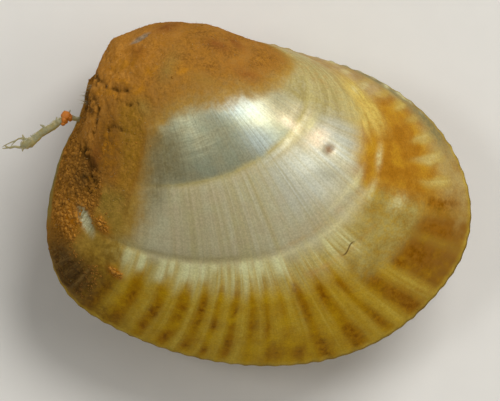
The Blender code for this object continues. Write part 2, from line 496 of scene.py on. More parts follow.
    # Name, strength, window of the ray and its bend, window of the scale and its bend.
    bands: tuple[tuple[str, float, Window, float, Window, float], ...] = (
        ("glow", 1, (0.07, 0.2, 0.025), 0, (0.485, 0.69, 0.03), 0),
        ("amber", 1, (0.27, 0.44, 0.05), 0, (0.78, 0.86), 0),
        ("umber", 1, (0.292, 0.362, 0.016), 1, (0.83, 0.89), 0),
        ("umber", 0.8, (0.355, 0.395, 0.012), 0, (0.87, 0.93), 0),
        ("ochre", 1, (0.13, 0.205, 0.02), 0, (0.65, 0.765, 0.03), 0),
        ("ochre", 0.75, (0.13, 0.29, 0.02), 0, (0.64, 0.69, 0.022), 0),
        ("rose", 1, (-0.02, 0.172, 0.012), 0, (0.48, 0.56), 0),
        ("moss", 1, (0.085, 0.235, 0.03), 0, (0.905, 0.975), 0),
        ("olive", 1, (0.29, 0.4, 0.02), 0, (0.745, 0.862, 0.022), 1),
        ("verge", 1, (0.77, 0.885, 0.015), 0, (0.865, 0.925), 0),
        ("golden", 1, (0.655, 0.712, 0.014), 0, (0.34, 0.58, 0.03), 0),
        # Painted shade on the left of the pearl.
        ("painted_shade_left_pearl", 1, (0.615, 0.68, 0.03), 0, (0.43, 0.545, 0.02), 0),
        ("strip", 1, (0.02, 0.145, 0.02), 1, (0.5, 0.665, 0.04), 0),
        # Painted shade along the first growth line, where the lamp lights its slope.
        ("seam", 1, (0.17, 0.34, 0.04), 0, (0.56, 0.602, 0.012), 0),
        ("russet", 1, (0.687, 0.742, 0.016), 1, (0.72, 0.86), 0),
        ("sheen", 1, (0.205, 0.42, 0.05), 0, (0.575, 0.68, 0.03), 0),
        ("patch", 1, (0.705, 0.762, 0.022), 2, (0.845, 0.975, 0.045), 0),
    )
    # Name, strength, scale, half width, bend and the window of the ray.
    lines: tuple[tuple[str, float, float, float, float, Window], ...] = (
        ("first_line", 1, 0.553, 0.0055, 0.5, (0.14, 0.68, 0.05)),
        ("first_twin", 1, 0.57, 0.0045, 0.5, (0.14, 0.42, 0.05)),
        ("second_line", 1, 0.725, 0.007, 0, (0.52, 0.7, 0.06)),
        ("bright_lines", 1, 0.706, 0.0045, 0, (0.28, 0.36, 0.04)),
        ("bright_lines", 1, 0.738, 0.0055, 0, (0.3, 0.5, 0.05)),
        ("dark_lines", 0.5, 0.722, 0.005, 1, (0.3, 0.49, 0.04)),
        ("dark_lines", 1, 0.792, 0.0045, 0, (0.35, 0.46, 0.02)),
    )
    smudges: tuple[tuple[str, float, Mark], ...] = (
        # Painted shade on the left of the pearl is the first entry of the line below.
        ("painted_shade_left_pearl", 0.8, (158, 190, 0.85, 0.44, 80)), ("strip", 1, (314, 78, 0.5, 0.24, -45)),
        # Painted highlight on the upper middle of the pearl.
        ("painted_highlight", 1, (236, 107, 0.95, 0.46, -10)), ("painted_highlight", 0.9, (260, 142, 0.74, 0.46, -35)),
        # Painted shade on the pearl, right of the highlight and lower down on the right.
        ("painted_shade_by_highlight", 1, (276, 101, 0.85, 0.46, -55)), ("painted_shade_by_highlight", 0.55, (326, 175, 0.75, 0.36, 10)),
        ("russet", 1, (106, 315, 0.95, 0.34, -38)), ("umber", 0.8, (411, 222, 0.42, 0.26, -50)),
        ("shade", 1, (107, 150, 0.95, 0.42, 80)), ("shade", 1, (89, 176, 0.7, 0.34, 75)),
        ("shade", 1, (91, 101, 0.46, 0.26, -65)), ("shade", 1, (97, 76, 0.36, 0.16, -60)),
    )
    on_crust: tuple[str, ...] = ("ginger", "golden", "rust", "shade", "shaded_crevices", "gold_spots",
                                 "red_spots", "olive_spots")

    def beyond_crust(self, field: ShellField) -> np.ndarray:
        """Return how far each point lies outside the crust's edge, in mm, below 0 under it.

        Args:
            field: Coordinates of the outside.

        Returns:
            Distances in mm.
        """
        edges = np.array(self.crust_edge)
        rears = np.array(self.rear_edge)
        past = field.scale - np.interp(field.ray, edges[:, 0], edges[:, 1])
        before = np.interp(field.scale, rears[:, 0], rears[:, 1]) - field.ray
        beside = np.maximum(before, field.ray - 0.985)
        nearest = np.minimum(past * self.mm_per_scale, beside * self.mm_per_ray)
        ragged = 0.16 * cloud(field.points, 0.7, 4, field.seed)
        return nearest + ragged + 0.10 * cloud(field.points, 0.15, 2, field.seed)

    def crust(self, field: ShellField, beyond: np.ndarray) -> np.ndarray:
        """Return where rust crust covers the shell, thinning out over its edge.

        Args:
            field: Coordinates of the outside.
            beyond: How far each point lies outside the crust's edge, in mm.

        Returns:
            Weights from 0 to 1.
        """
        verge = between(0.775, 0.880, 0.015, field.ray)
        ragged = 0.012 * cloud(field.points, 0.5, 5, field.seed + 1.0)
        bare = verge * rise(0.880, 0.930, field.scale + ragged)
        bare = bare + (1.0 - verge) * rise(0.950, 0.985, field.scale + ragged)
        return fall(-1.50, 0.60, beyond) * (1.0 - bare)

    def pearl(self, field: ShellField) -> np.ndarray:
        """Return where the skin is worn off and the pearly layer shows.

        Args:
            field: Coordinates of the outside.

        Returns:
            Weights from 0 to 1.
        """
        edges = np.array(self.pearl_edge)
        edge = np.interp(field.ray, edges[:, 0], edges[:, 1])
        ragged = 0.010 * cloud(field.ring * (8.0, 8.0, 6.0), 1.0, 3, field.seed)
        inside = fall(-0.030, 0.030, field.scale - edge + ragged)
        return inside * fall(0.655, 0.700, field.ray) * rise(0.06, 0.17, field.ray)

    def whole_rays(self, field: ShellField) -> np.ndarray:
        """Return the rays as they run from the beak to the margin.

        Args:
            field: Coordinates of the outside.

        Returns:
            Weights from 0 to 1.
        """
        total = np.zeros(field.scale.shape)
        wander = 0.0022 * cloud(field.ring * (2.0, 2.0, 9.0), 1.0, 3, field.seed + 3.0)
        for place, half, strength in self.rays:
            gap = np.abs(round_gap(place, field.ray + wander)) / half
            total = np.maximum(total, strength * fall(0.20, 1.60, gap))
        patchy = 0.85 + 0.45 * cloud(field.ring * (11.0, 11.0, 7.0), 1.0, 3, field.seed + 5.0)
        return np.clip(total * patchy, 0.0, 1.0)

    def pale_rays(self, field: ShellField, whole: np.ndarray) -> np.ndarray:
        """Return the part of the rays that shows pale in the outer band.

        Args:
            field: Coordinates of the outside.
            whole: The rays as they run from the beak to the margin.

        Returns:
            Weights from 0 to 1.
        """
        start = 0.785 + 0.085 * between(0.17, 0.300, 0.02, field.ray)
        fade = 1.0 - 0.75 * hump(0.50, 0.045, field.ray) * rise(0.90, 0.95, field.scale)
        fade *= 1.0 - rise(0.915, 0.955, field.scale) * fall(0.27, 0.32, field.ray)
        inner = rise(-0.05, 0.03, field.scale - start)
        return whole * inner * fade * (1.0 - 0.6 * fall(0.15, 0.19, field.ray))

    def brown_blotches(self, field: ShellField) -> np.ndarray:
        """Return the brown blotches between the rays.

        Args:
            field: Coordinates of the outside.

        Returns:
            Weights from 0 to 1.
        """
        total = np.zeros(field.scale.shape)
        bend = 0.0045 * cloud(field.ring * (14.0, 14.0, 14.0), 1.0, 4, field.seed + 7.0)
        slide = 0.020 * cloud(field.ring * (14.0, 14.0, 14.0), 1.0, 4, field.seed + 8.0)
        for ray, scale, half_ray, half_scale in self.blotches:
            gap = (round_gap(ray, field.ray + bend) / half_ray) ** 2
            gap = gap + ((field.scale + slide - scale) / half_scale) ** 2
            total = np.maximum(total, np.exp(-gap))
        return total

    def cream_fingers(self, field: ShellField) -> np.ndarray:
        """Return the pale fingers just outside the second growth line.

        Args:
            field: Coordinates of the outside.

        Returns:
            Weights from 0 to 1.
        """
        total = np.zeros(field.scale.shape)
        bend = 0.0016 * cloud(field.ring * (3.0, 3.0, 16.0), 1.0, 2, field.seed + 9.0)
        for ray, reach, half in self.fingers:
            gap = np.abs(round_gap(ray, field.ray + bend)) / half
            body = rise(0.732, 0.742, field.scale) * fall(reach - 0.03, reach, field.scale)
            total = np.maximum(total, np.exp(-gap ** 2.0) * body)
        return total

    def clefts(self, field: ShellField) -> np.ndarray:
        """Return the crust's clefts, which are sunk and darkened with painted shade.

        Args:
            field: Coordinates of the outside.

        Returns:
            Weights from 0 to 1.
        """
        total = np.zeros(field.scale.shape)
        for route, width in self.shaded_crevices:
            total = np.maximum(total, field.beside(route, width))
        facing = rise(-0.12, 0.16, normals_of(field.points)[..., 2])
        return total * facing * rise(-0.5, 0.2, cloud(field.points, 0.22, 3, field.seed + 11.0))

    def own_shapes(self, field: ShellField, bend: np.ndarray) -> dict[str, np.ndarray]:
        """Return the markings whose edges follow a rule of their own.

        Args:
            field: Coordinates of the outside.
            bend: How far edges stray from their place.

        Returns:
            The markings by name.
        """
        ray, scale = field.ray, field.scale
        beyond = self.beyond_crust(field)
        whole = self.whole_rays(field)
        first = self.growth_lines[0]
        shade = cloud(field.points, 1.30, 3, field.seed + 17.0)
        uneven = 0.5 + 0.5 * cloud(field.ring * (9.0, 9.0, 2.0), 1.0, 2, field.seed + 43.0)
        bay = 0.10 * whole * np.clip(uneven, 0.1, 1.0) * between(0.18, 0.30, 0.01, ray)
        ragged = scale + (bay + 4.0 * bend)
        rear = rise(0.735, 0.775, ray) * rise(0.54, 0.62, scale)
        return {
            "crust": self.crust(field, beyond),
            "halo": fall(0.10, 0.88, beyond + 0.10 * shade),
            "ginger": np.maximum(field.near((118, 66, 1.7, 1, 40)),
                                 between(0.80, 0.985, 0.03, ray) * fall(0.40, 0.60, scale)),
            "flank": between(0.690, 0.752, 0.012, ray + bend) * rise(0.545, 0.610, scale)
                     * fall(0.80, 0.90, scale),
            "pearl": self.pearl(field),
            "silver": between(0.30, 0.655, 0.05, ray) * fall(first - 0.010, first, scale + bend),
            "rays": self.pale_rays(field, whole),
            "blotches": self.brown_blotches(field),
            "fingers": self.cream_fingers(field),
            "cream": between(0.355, 0.700, 0.03, ray + bend) * rise(0.693, 0.737, scale)
                     * fall(0.755, 0.840, scale + 2.5 * bend - 0.030 * (whole - 0.5)),
            "tan": between(0.172, 0.300, 0.010, ray + bend) * rise(0.655, 0.715, scale)
                   * (1.0 - 0.9 * rise(0.845, 0.945, ragged)),
            "mist": between(0.075, 0.315, 0.014, ray) * rise(0.845, 0.925, ragged),
            "beads": between(0.085, 0.200, 0.01, ray) * rise(0.955, 0.985, scale)
                     * rise(0.3, 0.95, np.cos(math.tau * CRENULATIONS * ray)),
            "tips": hump(0.900, 0.045, scale + 2.0 * bend) * between(0.185, 0.300, 0.006, ray)
                    * rise(0.35, 1.0, whole * (0.5 + uneven)),
            "dull": between(0.46, 0.70, 0.05, ray) * rise(0.52, 0.58, scale)
                    * fall(0.72, 0.74, scale),
            "rust": np.clip(rear * (0.6 + 1.2 * shade), 0.0, 1.0),
            "shaded_crevices": self.clefts(field),
            "gold_spots": field.near(*self.gold_spots),
            "red_spots": field.near(*self.red_spots),
            "olive_spots": field.near(*self.olive_spots),
            "rim": rise(0.984, 0.996, scale),
        }

    def all(self, field: ShellField) -> dict[str, np.ndarray]:
        """Return every marking of the valve by name.

        Args:
            field: Coordinates of the outside.

        Returns:
            Weights from 0 to 1 by name.
        """
        bend = 0.004 * cloud(field.ring * (5.0, 5.0, 3.0), 1.0, 2, field.seed + 19.0)
        marks = self.own_shapes(field, bend)
        layers = []
        for name, strength, ray_window, ray_bend, scale_window, scale_bend in self.bands:
            across = strength * weigh(ray_window, field.ray + ray_bend * bend)
            layers.append((name, across * weigh(scale_window, field.scale + scale_bend * bend)))
        for name, strength, place, half, stray, ray_window in self.lines:
            line = hump(place, half, field.scale + stray * bend)
            layers.append((name, line * weigh(ray_window, field.ray) * strength))
        for name, strength, mark in self.smudges:
            layers.append((name, strength * field.near(mark)))
        for name, weights in layers:
            marks[name] = np.maximum(marks.get(name, 0.0), weights)
        for name in self.on_crust:
            marks[name] = marks[name] * marks["crust"]
        return marks


@dataclass(frozen=True)
class DamageAndGleam:
    """Marks that only the upper valve has, in mm from the beak: damage, and a painted highlight by
    the pit.
    """

    pit: Mark = (328.5, 150, 0.17, 0.136, 30)
    # The gleam and the glint are a painted highlight by the pit.
    gleam: Mark = (317, 139, 0.42, 0.28, 30)
    glint: Mark = (289, 124, 0.34, 0.16, -35)
    streaks: tuple[Mark, ...] = (
        (311, 124, 0.26, 0.1, 62), (356, 181, 0.36, 0.08, 62),
        (378, 157, 0.36, 0.09, 84), (370, 192, 0.34, 0.09, 66),
        (396, 203, 0.3, 0.2, 40),
        (331, 62.5, 0.26, 0.04, -20), (345, 72.5, 0.12, 0.06, -20),
        (363, 86.5, 0.16, 0.1, 20), (354, 90, 0.14, 0.06, -50),
        (386, 87, 0.12, 0.05, -30), (401, 96, 0.26, 0.05, -36),
    )
    pit_depth: float = 0.07
    worn_lens: Mark = (143, 43, 0.38, 0.08, 30)
    yellow_streaks: tuple[Mark, ...] = (
        (359, 103, 0.6, 0.1, -46), (372, 122, 0.45, 0.07, -64),
        (364, 128, 0.4, 0.06, -70), (350, 92, 0.35, 0.08, -38),
    )
    white_lens: Mark = (88.5, 220, 0.56, 0.165, -71)
    crack_middle: Spot = photo_spot(347.5, 248.0)
    crack: tuple[Spot, ...] = (
        (322, 262), (331, 257), (340, 252), (343, 247), (347, 243.5), (357, 241),
    )
    crack_width: float = 0.11
    crack_depth: float = 0.035
    clumps: tuple[Mark, ...] = (
        (103, 225, 0.38, 0.2, -55),
        (117, 272, 0.3, 0.14, -40),
        (73, 218, 0.45, 0.3, -70),
    )

    def marks(self, field: ShellField) -> dict[str, np.ndarray]:
        """Return the weights of the damage marks and of the painted highlight by name.

        Args:
            field: Coordinates of the outside.

        Returns:
            Weights from 0 to 1 by name.
        """
        return {
            "pit": field.near(self.pit),
            "gleam": np.maximum(field.near(self.gleam), 0.8 * field.near(self.glint)),
            "worn_lens": rise(0.25, 0.65, field.near(self.worn_lens)),
            "white_lens": rise(0.15, 0.80, field.near(self.white_lens)),
            "streaks": field.near(*self.streaks),
            "yellow_streaks": field.near(*self.yellow_streaks),
            "crack": field.beside(self.crack, self.crack_width),
            "clumps": field.near(*self.clumps),
        }

    def relief(self, marks: dict[str, np.ndarray]) -> np.ndarray:
        """Return how far the damage sinks or lifts the surface, in mm."""
        sunk = self.pit_depth * marks["pit"] + self.crack_depth * marks["crack"]
        sunk = sunk + 0.03 * marks["worn_lens"] + 0.03 * marks["white_lens"]
        return 0.05 * marks["clumps"] - sunk


@dataclass(frozen=True)
class Sculpture:
    """Height of everything that stands on or sinks into the smooth shell, in mm."""

    crust: float = 0.15
    crust_lumps: float = 0.09
    lump_size: float = 0.70
    bare_beak: float = 4.0
    swell: float = 0.024
    groove: float = 0.030
    groove_width: float = 0.010
    crenulation: float = 0.030

    def crust_share(self, field: ShellField) -> np.ndarray:
        """Return how thick the crust is, from 0 to 1, as the solids have it.

        Args:
            field: Coordinates of the outside.

        Returns:
            Shares from 0 to 1.
        """
        x, y, z = np.moveaxis(field.points, 2, 0)
        beak_cover = fall(0.30, 0.48, field.scale)
        rear_cover = fall(-1.2, 0.2, x + 0.25 * z) * rise(-8.6, -6.8, y)
        share = np.maximum(beak_cover, rear_cover) * fall(0.96, 1.0, field.scale)
        return share * rise(-0.4, self.bare_beak, np.linalg.norm(field.points, axis=2))

    def swelling(self, scale: np.ndarray, lines: tuple[float, float]) -> np.ndarray:
        """Return the soft pillow between one growth line and the next.

        Args:
            scale: Growth scale of each point.
            lines: Growth scales of the two strong growth lines.

        Returns:
            Heights in mm.
        """
        ends = (0.30, lines[0], lines[1], 1.0)
        total = np.zeros(scale.shape)
        for low, high in zip(ends[:-1], ends[1:]):
            part = np.clip((scale - low) / (high - low), 0.0, 1.0)
            total += self.swell * 4.0 * part * (1.0 - part) * rise(0.0, 0.2, 1.0 - part)
        return total

    def heights(self, field: ShellField, marks: dict[str, np.ndarray],
                lines: tuple[float, float]) -> np.ndarray:
        """Return the relief of the whole outside.

        Args:
            field: Coordinates of the outside.
            marks: Its markings.
            lines: Growth scales of the two strong growth lines.

        Returns:
            Heights along the normals, in mm.
        """
        share = self.crust_share(field)
        cover = marks["crust"]
        lumps = 0.5 + 0.5 * cloud(field.points, self.lump_size, 1, 0.0)
        height = share * (self.crust + self.crust_lumps * lumps)
        fine = 0.030 * cloud(field.points, 0.34, 3, field.seed + 23.0)
        grit = grains(field.points, 0.17, field.seed)
        rear = rise(0.735, 0.775, field.ray) * rise(0.54, 0.62, field.scale)
        height += cover * (fine + (grit - 0.5) * (0.012 + 0.05 * rear))
        rough = field.near((110, 96, 1.25, 0.85, 60))
        lumps = cloud(field.points, 0.46, 2, field.seed + 29.0)
        height += cover * 0.05 * rough * lumps
        height += 0.11 * field.near((115, 44, 0.4, 0.34, 0))
        height += 0.06 * field.near((127, 85.5, 0.36, 0.09, -8))
        # Low places between the lumps join the clefts, which are sunk and darkened with painted
        # shade.
        shaded_gaps = cover * rough * rise(0.25, 0.60, -lumps) * 0.3
        marks["shaded_crevices"] = np.clip(np.maximum(marks["shaded_crevices"], shaded_gaps), 0.0, 1.0)
        height -= 0.09 * marks["shaded_crevices"]
        bare = 1.0 - cover
        height += bare * self.swelling(field.scale, lines)
        depths = (0.6, 0.35 + 0.65 * between(0.50, 0.75, 0.06, field.ray))
        for line, depth in zip(lines, depths):
            height -= self.groove * depth * bare * hump(line, self.groove_width, field.scale)
        growth = cloud(field.ring * (1.5, 1.5, 42.0), 1.0, 2, field.seed + 31.0)
        height += 0.006 * bare * growth
        return height

    def shaped(self, field: ShellField, heights: np.ndarray) -> np.ndarray:
        """Return the outside with its relief and its wavy margin.

        Args:
            field: Coordinates of the outside.
            heights: Relief in mm.

        Returns:
            The points, rows by columns by 3.
        """
        normal = normals_of(field.points)
        free = fall(0.985, 1.0, field.scale)[..., None]
        points = field.points + normal * heights[..., None] * free
        wave = np.cos(math.tau * CRENULATIONS * field.ray)
        uneven = 0.55 + 0.8 * cloud(field.ring * (6.0, 6.0, 0.0), 1.0, 2, field.seed + 41.0)
        ripple = self.crenulation * wave * uneven * rise(0.93, 1.0, field.scale)
        outward = normal.copy()
        outward[..., 2] = 0.0
        points += outward * ripple[..., None]
        points[..., 2] = np.maximum(points[..., 2], HALF_GAP)
        return points


class NodeSheet:
    """A material's nodes, added and linked by short calls that return sockets."""

    def __init__(self, name: str) -> None:
        """Start a material with one Principled shader.

        Args:
            name: Name of the material.
        """
        self.material = bpy.data.materials.new(name)
        self.material.use_nodes = True
        self.tree = self.material.node_tree
        self.shader = self.tree.nodes["Principled BSDF"]

    def add(self, kind: str, **settings: object) -> bpy.types.Node:
        """Add a node and set its properties.

        Args:
            kind: Type of the node.
            settings: Its properties by name.

        Returns:
            The node.
        """
        node = self.tree.nodes.new(kind)
        for name, value in settings.items():
            setattr(node, name, value)
        return node

    def feed(self, node: bpy.types.Node, values: dict[object, object]) -> bpy.types.Node:
        """Link inputs of a node to sockets, or set them to plain values.

        Args:
            node: The node.
            values: Sockets or values, by the inputs' names or numbers.

        Returns:
            The node.
        """
        for name, value in values.items():
            socket = node.inputs[name]
            if isinstance(value, bpy.types.NodeSocket):
                self.tree.links.new(value, socket)
            elif isinstance(value, tuple) and socket.type == "RGBA":
                socket.default_value = (*value, 1.0)
            else:
                socket.default_value = value
        return node

    def mask(self, name: str) -> bpy.types.NodeSocket:
        """Return the weights of a marking."""
        return self.add("ShaderNodeAttribute", attribute_name=name).outputs["Fac"]

    def growth(self, stretch: tuple[float, float, float]) -> bpy.types.NodeSocket:
        """Return the growth coordinates on their ring, stretched."""
        ring = self.add("ShaderNodeAttribute", attribute_name="ring").outputs["Vector"]
        node = self.add("ShaderNodeVectorMath", operation="MULTIPLY")
        return self.feed(node, {0: ring, 1: stretch}).outputs["Vector"]

    def body(self) -> bpy.types.NodeSocket:
        """Return the coordinates of the object."""
        return self.add("ShaderNodeTexCoord").outputs["Object"]

    def noise(self, scale: float, detail: float = 2.0, rough: float = 0.5,
              vector: bpy.types.NodeSocket | None = None) -> bpy.types.NodeSocket:
        """Return noise from 0 to 1.

        Args:
            scale: Lumps per unit.
            detail: Finer layers.
            rough: Strength of the finer layers.
            vector: Coordinates, if not those of the object.

        Returns:
            The noise value.
        """
        inputs = {"Vector": vector or self.body(), "Scale": scale, "Detail": detail,
                  "Roughness": rough}
        return self.feed(self.add("ShaderNodeTexNoise"), inputs).outputs["Fac"]

    def sum(self, operation: str, *values: object, clamp: bool = False) -> bpy.types.NodeSocket:
        """Return the result of a Math node's operation on some values."""
        node = self.add("ShaderNodeMath", operation=operation, use_clamp=clamp)
        return self.feed(node, dict(enumerate(values))).outputs[0]

    def stroke(self, spot: Spot, lean: float, length: float, bow: float,
               width: float) -> bpy.types.NodeSocket:
        """Return a thin line, bent like an S, on top of the shell.

        Args:
            spot: Its middle, in mm from the beak.
            lean: Its angle from x, in degrees.
            length: Length in mm.
            bow: How far it bends off its axis, in half lengths.
            width: Half width in mm.

        Returns:
            Weights from 0 to 1.
        """
        half = length / 2.0 * MM
        place = self.feed(self.add("ShaderNodeMapping", vector_type="TEXTURE"), {
            "Vector": self.body(), "Location": place_of((*spot, 0.0)),
            "Rotation": (0.0, 0.0, math.radians(lean)), "Scale": (half, half, half)})
        split = self.feed(self.add("ShaderNodeSeparateXYZ"), {0: place.outputs["Vector"]})
        wave = self.sum("SINE", self.sum("MULTIPLY", split.outputs["X"], math.pi))
        gap = self.sum("MULTIPLY_ADD", wave, -bow, split.outputs["Y"])
        near = self.ramp(self.sum("ABSOLUTE", gap), 0.0, width * MM / half, 1.0, 0.0)
        ends = self.ramp(self.sum("ABSOLUTE", split.outputs["X"]), 0.45, 1.0, 1.0, 0.0)
        return self.sum("MULTIPLY", near, ends)

    def ramp(self, value: object, low: float, high: float, start: float = 0.0,
             end: float = 1.0) -> bpy.types.NodeSocket:
        """Return a value moved smoothly from the span low to high into start to end."""
        node = self.add("ShaderNodeMapRange", interpolation_type="SMOOTHSTEP")
        spans = {"Value": value, "From Min": low, "From Max": high, "To Min": start, "To Max": end}
        return self.feed(node, spans).outputs["Result"]

    def blend(self, share: object, first: object, second: object) -> bpy.types.NodeSocket:
        """Return a mix of two colours."""
        node = self.add("ShaderNodeMix", data_type="RGBA")
        return self.feed(node, {0: share, 6: first, 7: second}).outputs[2]

    def shift(self, share: object, first: object, second: object) -> bpy.types.NodeSocket:
        """Return a mix of two numbers."""
        node = self.add("ShaderNodeMix", data_type="FLOAT")
        return self.feed(node, {0: share, 2: first, 3: second}).outputs[0]

    def finished(self, values: dict[object, object]) -> bpy.types.Material:
        """Feed the shader and return the material."""
        self.feed(self.shader, values)
        return self.material

    def bump(self, height: object, distance: float) -> bpy.types.NodeSocket:
        """Return normals that a height bends, with its distance in mm."""
        node = self.feed(self.add("ShaderNodeBump"), {"Distance": distance * MM, "Height": height})
        return node.outputs["Normal"]


class Grain(Enum):
    """Pattern that breaks a coat up: the value is its name."""

    FINE = "specks under a tenth of a millimetre"
    MEDIUM = "flecks of a fifth of a millimetre"
    COARSE = "clouds of half a millimetre"
    RIBS = "streaks along the ribs"
    BANDS = "broad bands along the ribs"
    LINES = "streaks along the growth lines"


FINE, MEDIUM, COARSE, RIBS, BANDS, LINES = Grain


@dataclass(frozen=True)
class Coat:
    """One finish of the shell and the marking that says where it lies, in screen colours."""

    mask: str
    first: Screen
    second: Screen
    roughness: float
    metallic: float = 0.0
    strength: float = 1.0
    patchy: float = 0.3
    cover: Grain = MEDIUM
    mix: Grain = COARSE

    def colour(self, sheet: NodeSheet, patterns: Patterns) -> bpy.types.NodeSocket:
        """Return its two colours, mixed by its pattern."""
        return sheet.blend(patterns[self.mix], tone(*self.first), tone(*self.second))


@dataclass(frozen=True)
class ShellFinish:
    """Skin, pearl and crust of the valves, with a painted highlight and painted shade among the
    coats, from the lowest coat to the top one.
    """

    name: str = "shell_finish"
    skin: Coat = Coat("", (178, 140, 10), (152, 108, 2), 0.45)
    specular: float = 0.04
    coats: tuple[Coat, ...] = (
        Coat("amber", (150, 110, 8), (134, 95, 2), 0.5, 0, 0.85, 0.4),
        Coat("rose", (172, 146, 96), (152, 124, 76), 0.46),
        Coat("mist", (162, 140, 84), (148, 118, 62), 0.46, 0, 0.95, 0.1),
        Coat("umber", (138, 96, 34), (120, 80, 22), 0.5, 0, 0.92, 0.35, COARSE, FINE),
        Coat("tan", (166, 116, 30), (146, 96, 14), 0.44, 0, 0.95, 0.25, COARSE),
        Coat("ochre", (194, 170, 84), (172, 142, 64), 0.38, 0, 0.9, 0.3, MEDIUM, LINES),
        Coat("blotches", (142, 90, 2), (116, 72, 0), 0.5, 0, 0.85, 0.35, MEDIUM, MEDIUM),
        Coat("rays", (186, 160, 62), (172, 142, 42), 0.45, 0, 0.8, 0.25, MEDIUM, RIBS),
        Coat("tips", (190, 174, 116), (174, 152, 94), 0.42, 0, 0.6, 0.4, MEDIUM, RIBS),
        Coat("strip", (174, 134, 72), (154, 112, 54), 0.5, 0, 0.85, 0.35, LINES),
        Coat("olive", (160, 142, 78), (146, 122, 56), 0.42, 0, 0.85, 0.4),
        Coat("moss", (104, 98, 62), (128, 114, 70), 0.42, 0, 0.85, 0.4),
        Coat("beads", (196, 194, 160), (170, 164, 124), 0.36, 0, 0.7, 0.5),
        Coat("cream", (204, 198, 140), (168, 148, 80), 0.38, 0.05, 0.9, 0.4, RIBS, BANDS),
        Coat("pearl", (182, 174, 130), (172, 163, 121), 0.33, 0.28, 1, 0.15, BANDS, RIBS),
        Coat("dull", (178, 171, 128), (168, 160, 117), 0.36, 0.22, 0.6, 0.25, BANDS, RIBS),
        Coat("pearl", (206, 202, 172), (194, 188, 154), 0.3, 0.35, 0.2, 1, BANDS),
        Coat("pearl", (196, 166, 142), (176, 158, 126), 0.33, 0.28, 0.12, 1, COARSE, RIBS),
        Coat("sheen", (192, 193, 176), (180, 180, 160), 0.3, 0.35, 0.75, 0.3, BANDS, RIBS),
        Coat("silver", (154, 151, 120), (145, 141, 110), 0.31, 0.48, 1, 0.12, BANDS, RIBS),
        Coat("silver", (146, 172, 150), (156, 172, 156), 0.28, 0.55, 0.12, -1, COARSE, MEDIUM),
        # Painted highlight on the upper middle of the pearl, bright and a little metallic.
        Coat("painted_highlight", (172, 182, 174), (154, 162, 154), 0.36, 0.3, 0.85, 0.25, BANDS, RIBS),
        # Painted shade along the first growth line, where the lamp lights its slope.
        Coat("seam", (152, 142, 100), (140, 130, 92), 0.4, 0.1, 0.55),
        Coat("glow", (178, 164, 108), (158, 142, 86), 0.34, 0.15, 0.85, 0.35, MEDIUM, LINES),
        # Painted shade on the pearl, right of the highlight.
        Coat("painted_shade_by_highlight", (140, 134, 102), (130, 122, 92), 0.42, 0.1, 0.75, 0.2, BANDS, RIBS),
        Coat("fingers", (220, 221, 172), (204, 201, 146), 0.36, 0.05, 0.8, 0.35, RIBS, RIBS),
        Coat("first_line", (176, 160, 92), (166, 152, 98), 0.4, 0.1, 0.6, 0.6, COARSE),
        Coat("first_twin", (180, 164, 104), (170, 154, 106), 0.4, 0.1, 0.4, 0.5, COARSE),
        Coat("dark_lines", (156, 118, 50), (172, 138, 76), 0.45, 0, 0.45, 0.6, COARSE),
        Coat("second_line", (138, 126, 82), (152, 140, 94), 0.45, 0, 0.55, 0.5, COARSE),
        Coat("bright_lines", (222, 212, 162), (206, 196, 142), 0.34, 0.1, 0.38, 0.8, COARSE),
        Coat("halo", (164, 128, 52), (146, 114, 46), 0.6, 0, 0.9, 0.1),
        # Painted shade on the left of the pearl.
        Coat("painted_shade_left_pearl", (116, 105, 67), (106, 96, 62), 0.4, 0.25, 0.72, 0.2, MEDIUM, RIBS),
        Coat("verge", (138, 122, 54), (122, 104, 44), 0.5, 0, 0.9, 0.2),
        Coat("crust", (139, 95, 33), (118, 77, 21), 0.88, 0, 1, 0.05, FINE, MEDIUM),
        Coat("crust", (174, 126, 60), (150, 106, 44), 0.88, 0, 0.42, 1, COARSE, FINE),
        Coat("crust", (112, 68, 20), (130, 86, 30), 0.88, 0, 0.36, -1, COARSE, FINE),
        Coat("crust", (184, 134, 68), (164, 114, 50), 0.88, 0, 0.1, 1, FINE),
        Coat("crust", (104, 64, 20), (112, 72, 24), 0.88, 0, 0.1, -1, FINE),
        Coat("crust", (176, 122, 40), (160, 106, 34), 0.88, 0, 0.3, 1),
        Coat("golden", (160, 120, 40), (136, 98, 26), 0.85, 0, 0.75, 0.4, MEDIUM, MEDIUM),
        Coat("shade", (98, 66, 20), (84, 54, 16), 0.88, 0, 0.8),
        Coat("ginger", (204, 142, 60), (164, 108, 34), 0.85, 0, 0.85, 0.25, MEDIUM, MEDIUM),
        Coat("olive_spots", (146, 118, 58), (132, 106, 48), 0.8, 0, 0.7),
        Coat("red_spots", (120, 72, 30), (134, 80, 32), 0.85, 0, 0.75, 0.4),
        Coat("gold_spots", (182, 122, 26), (160, 108, 30), 0.8, 0, 0.6, 0.8),
        Coat("rust", (176, 122, 36), (112, 74, 20), 0.9, 0, 0.9, 0.3, MEDIUM, FINE),
        Coat("flank", (156, 128, 54), (134, 106, 38), 0.55, 0, 0.85, 0.3, MEDIUM, MEDIUM),
        Coat("russet", (122, 86, 16), (98, 66, 8), 0.6, 0, 0.72, 0.35),
        # Painted shade in the crust's clefts and between its lumps.
        Coat("shaded_crevices", (66, 44, 12), (50, 32, 8), 0.9, 0, 0.85, 0.2),
        Coat("patch", (78, 56, 22), (58, 40, 14), 0.7, 0, 0.94, 0.2, MEDIUM, MEDIUM),
        Coat("patch", (160, 128, 74), (130, 98, 50), 0.55, 0, 0.22, 1, RIBS, FINE),
        Coat("rim", (176, 148, 54), (150, 122, 34), 0.45, 0, 0.7),
    )
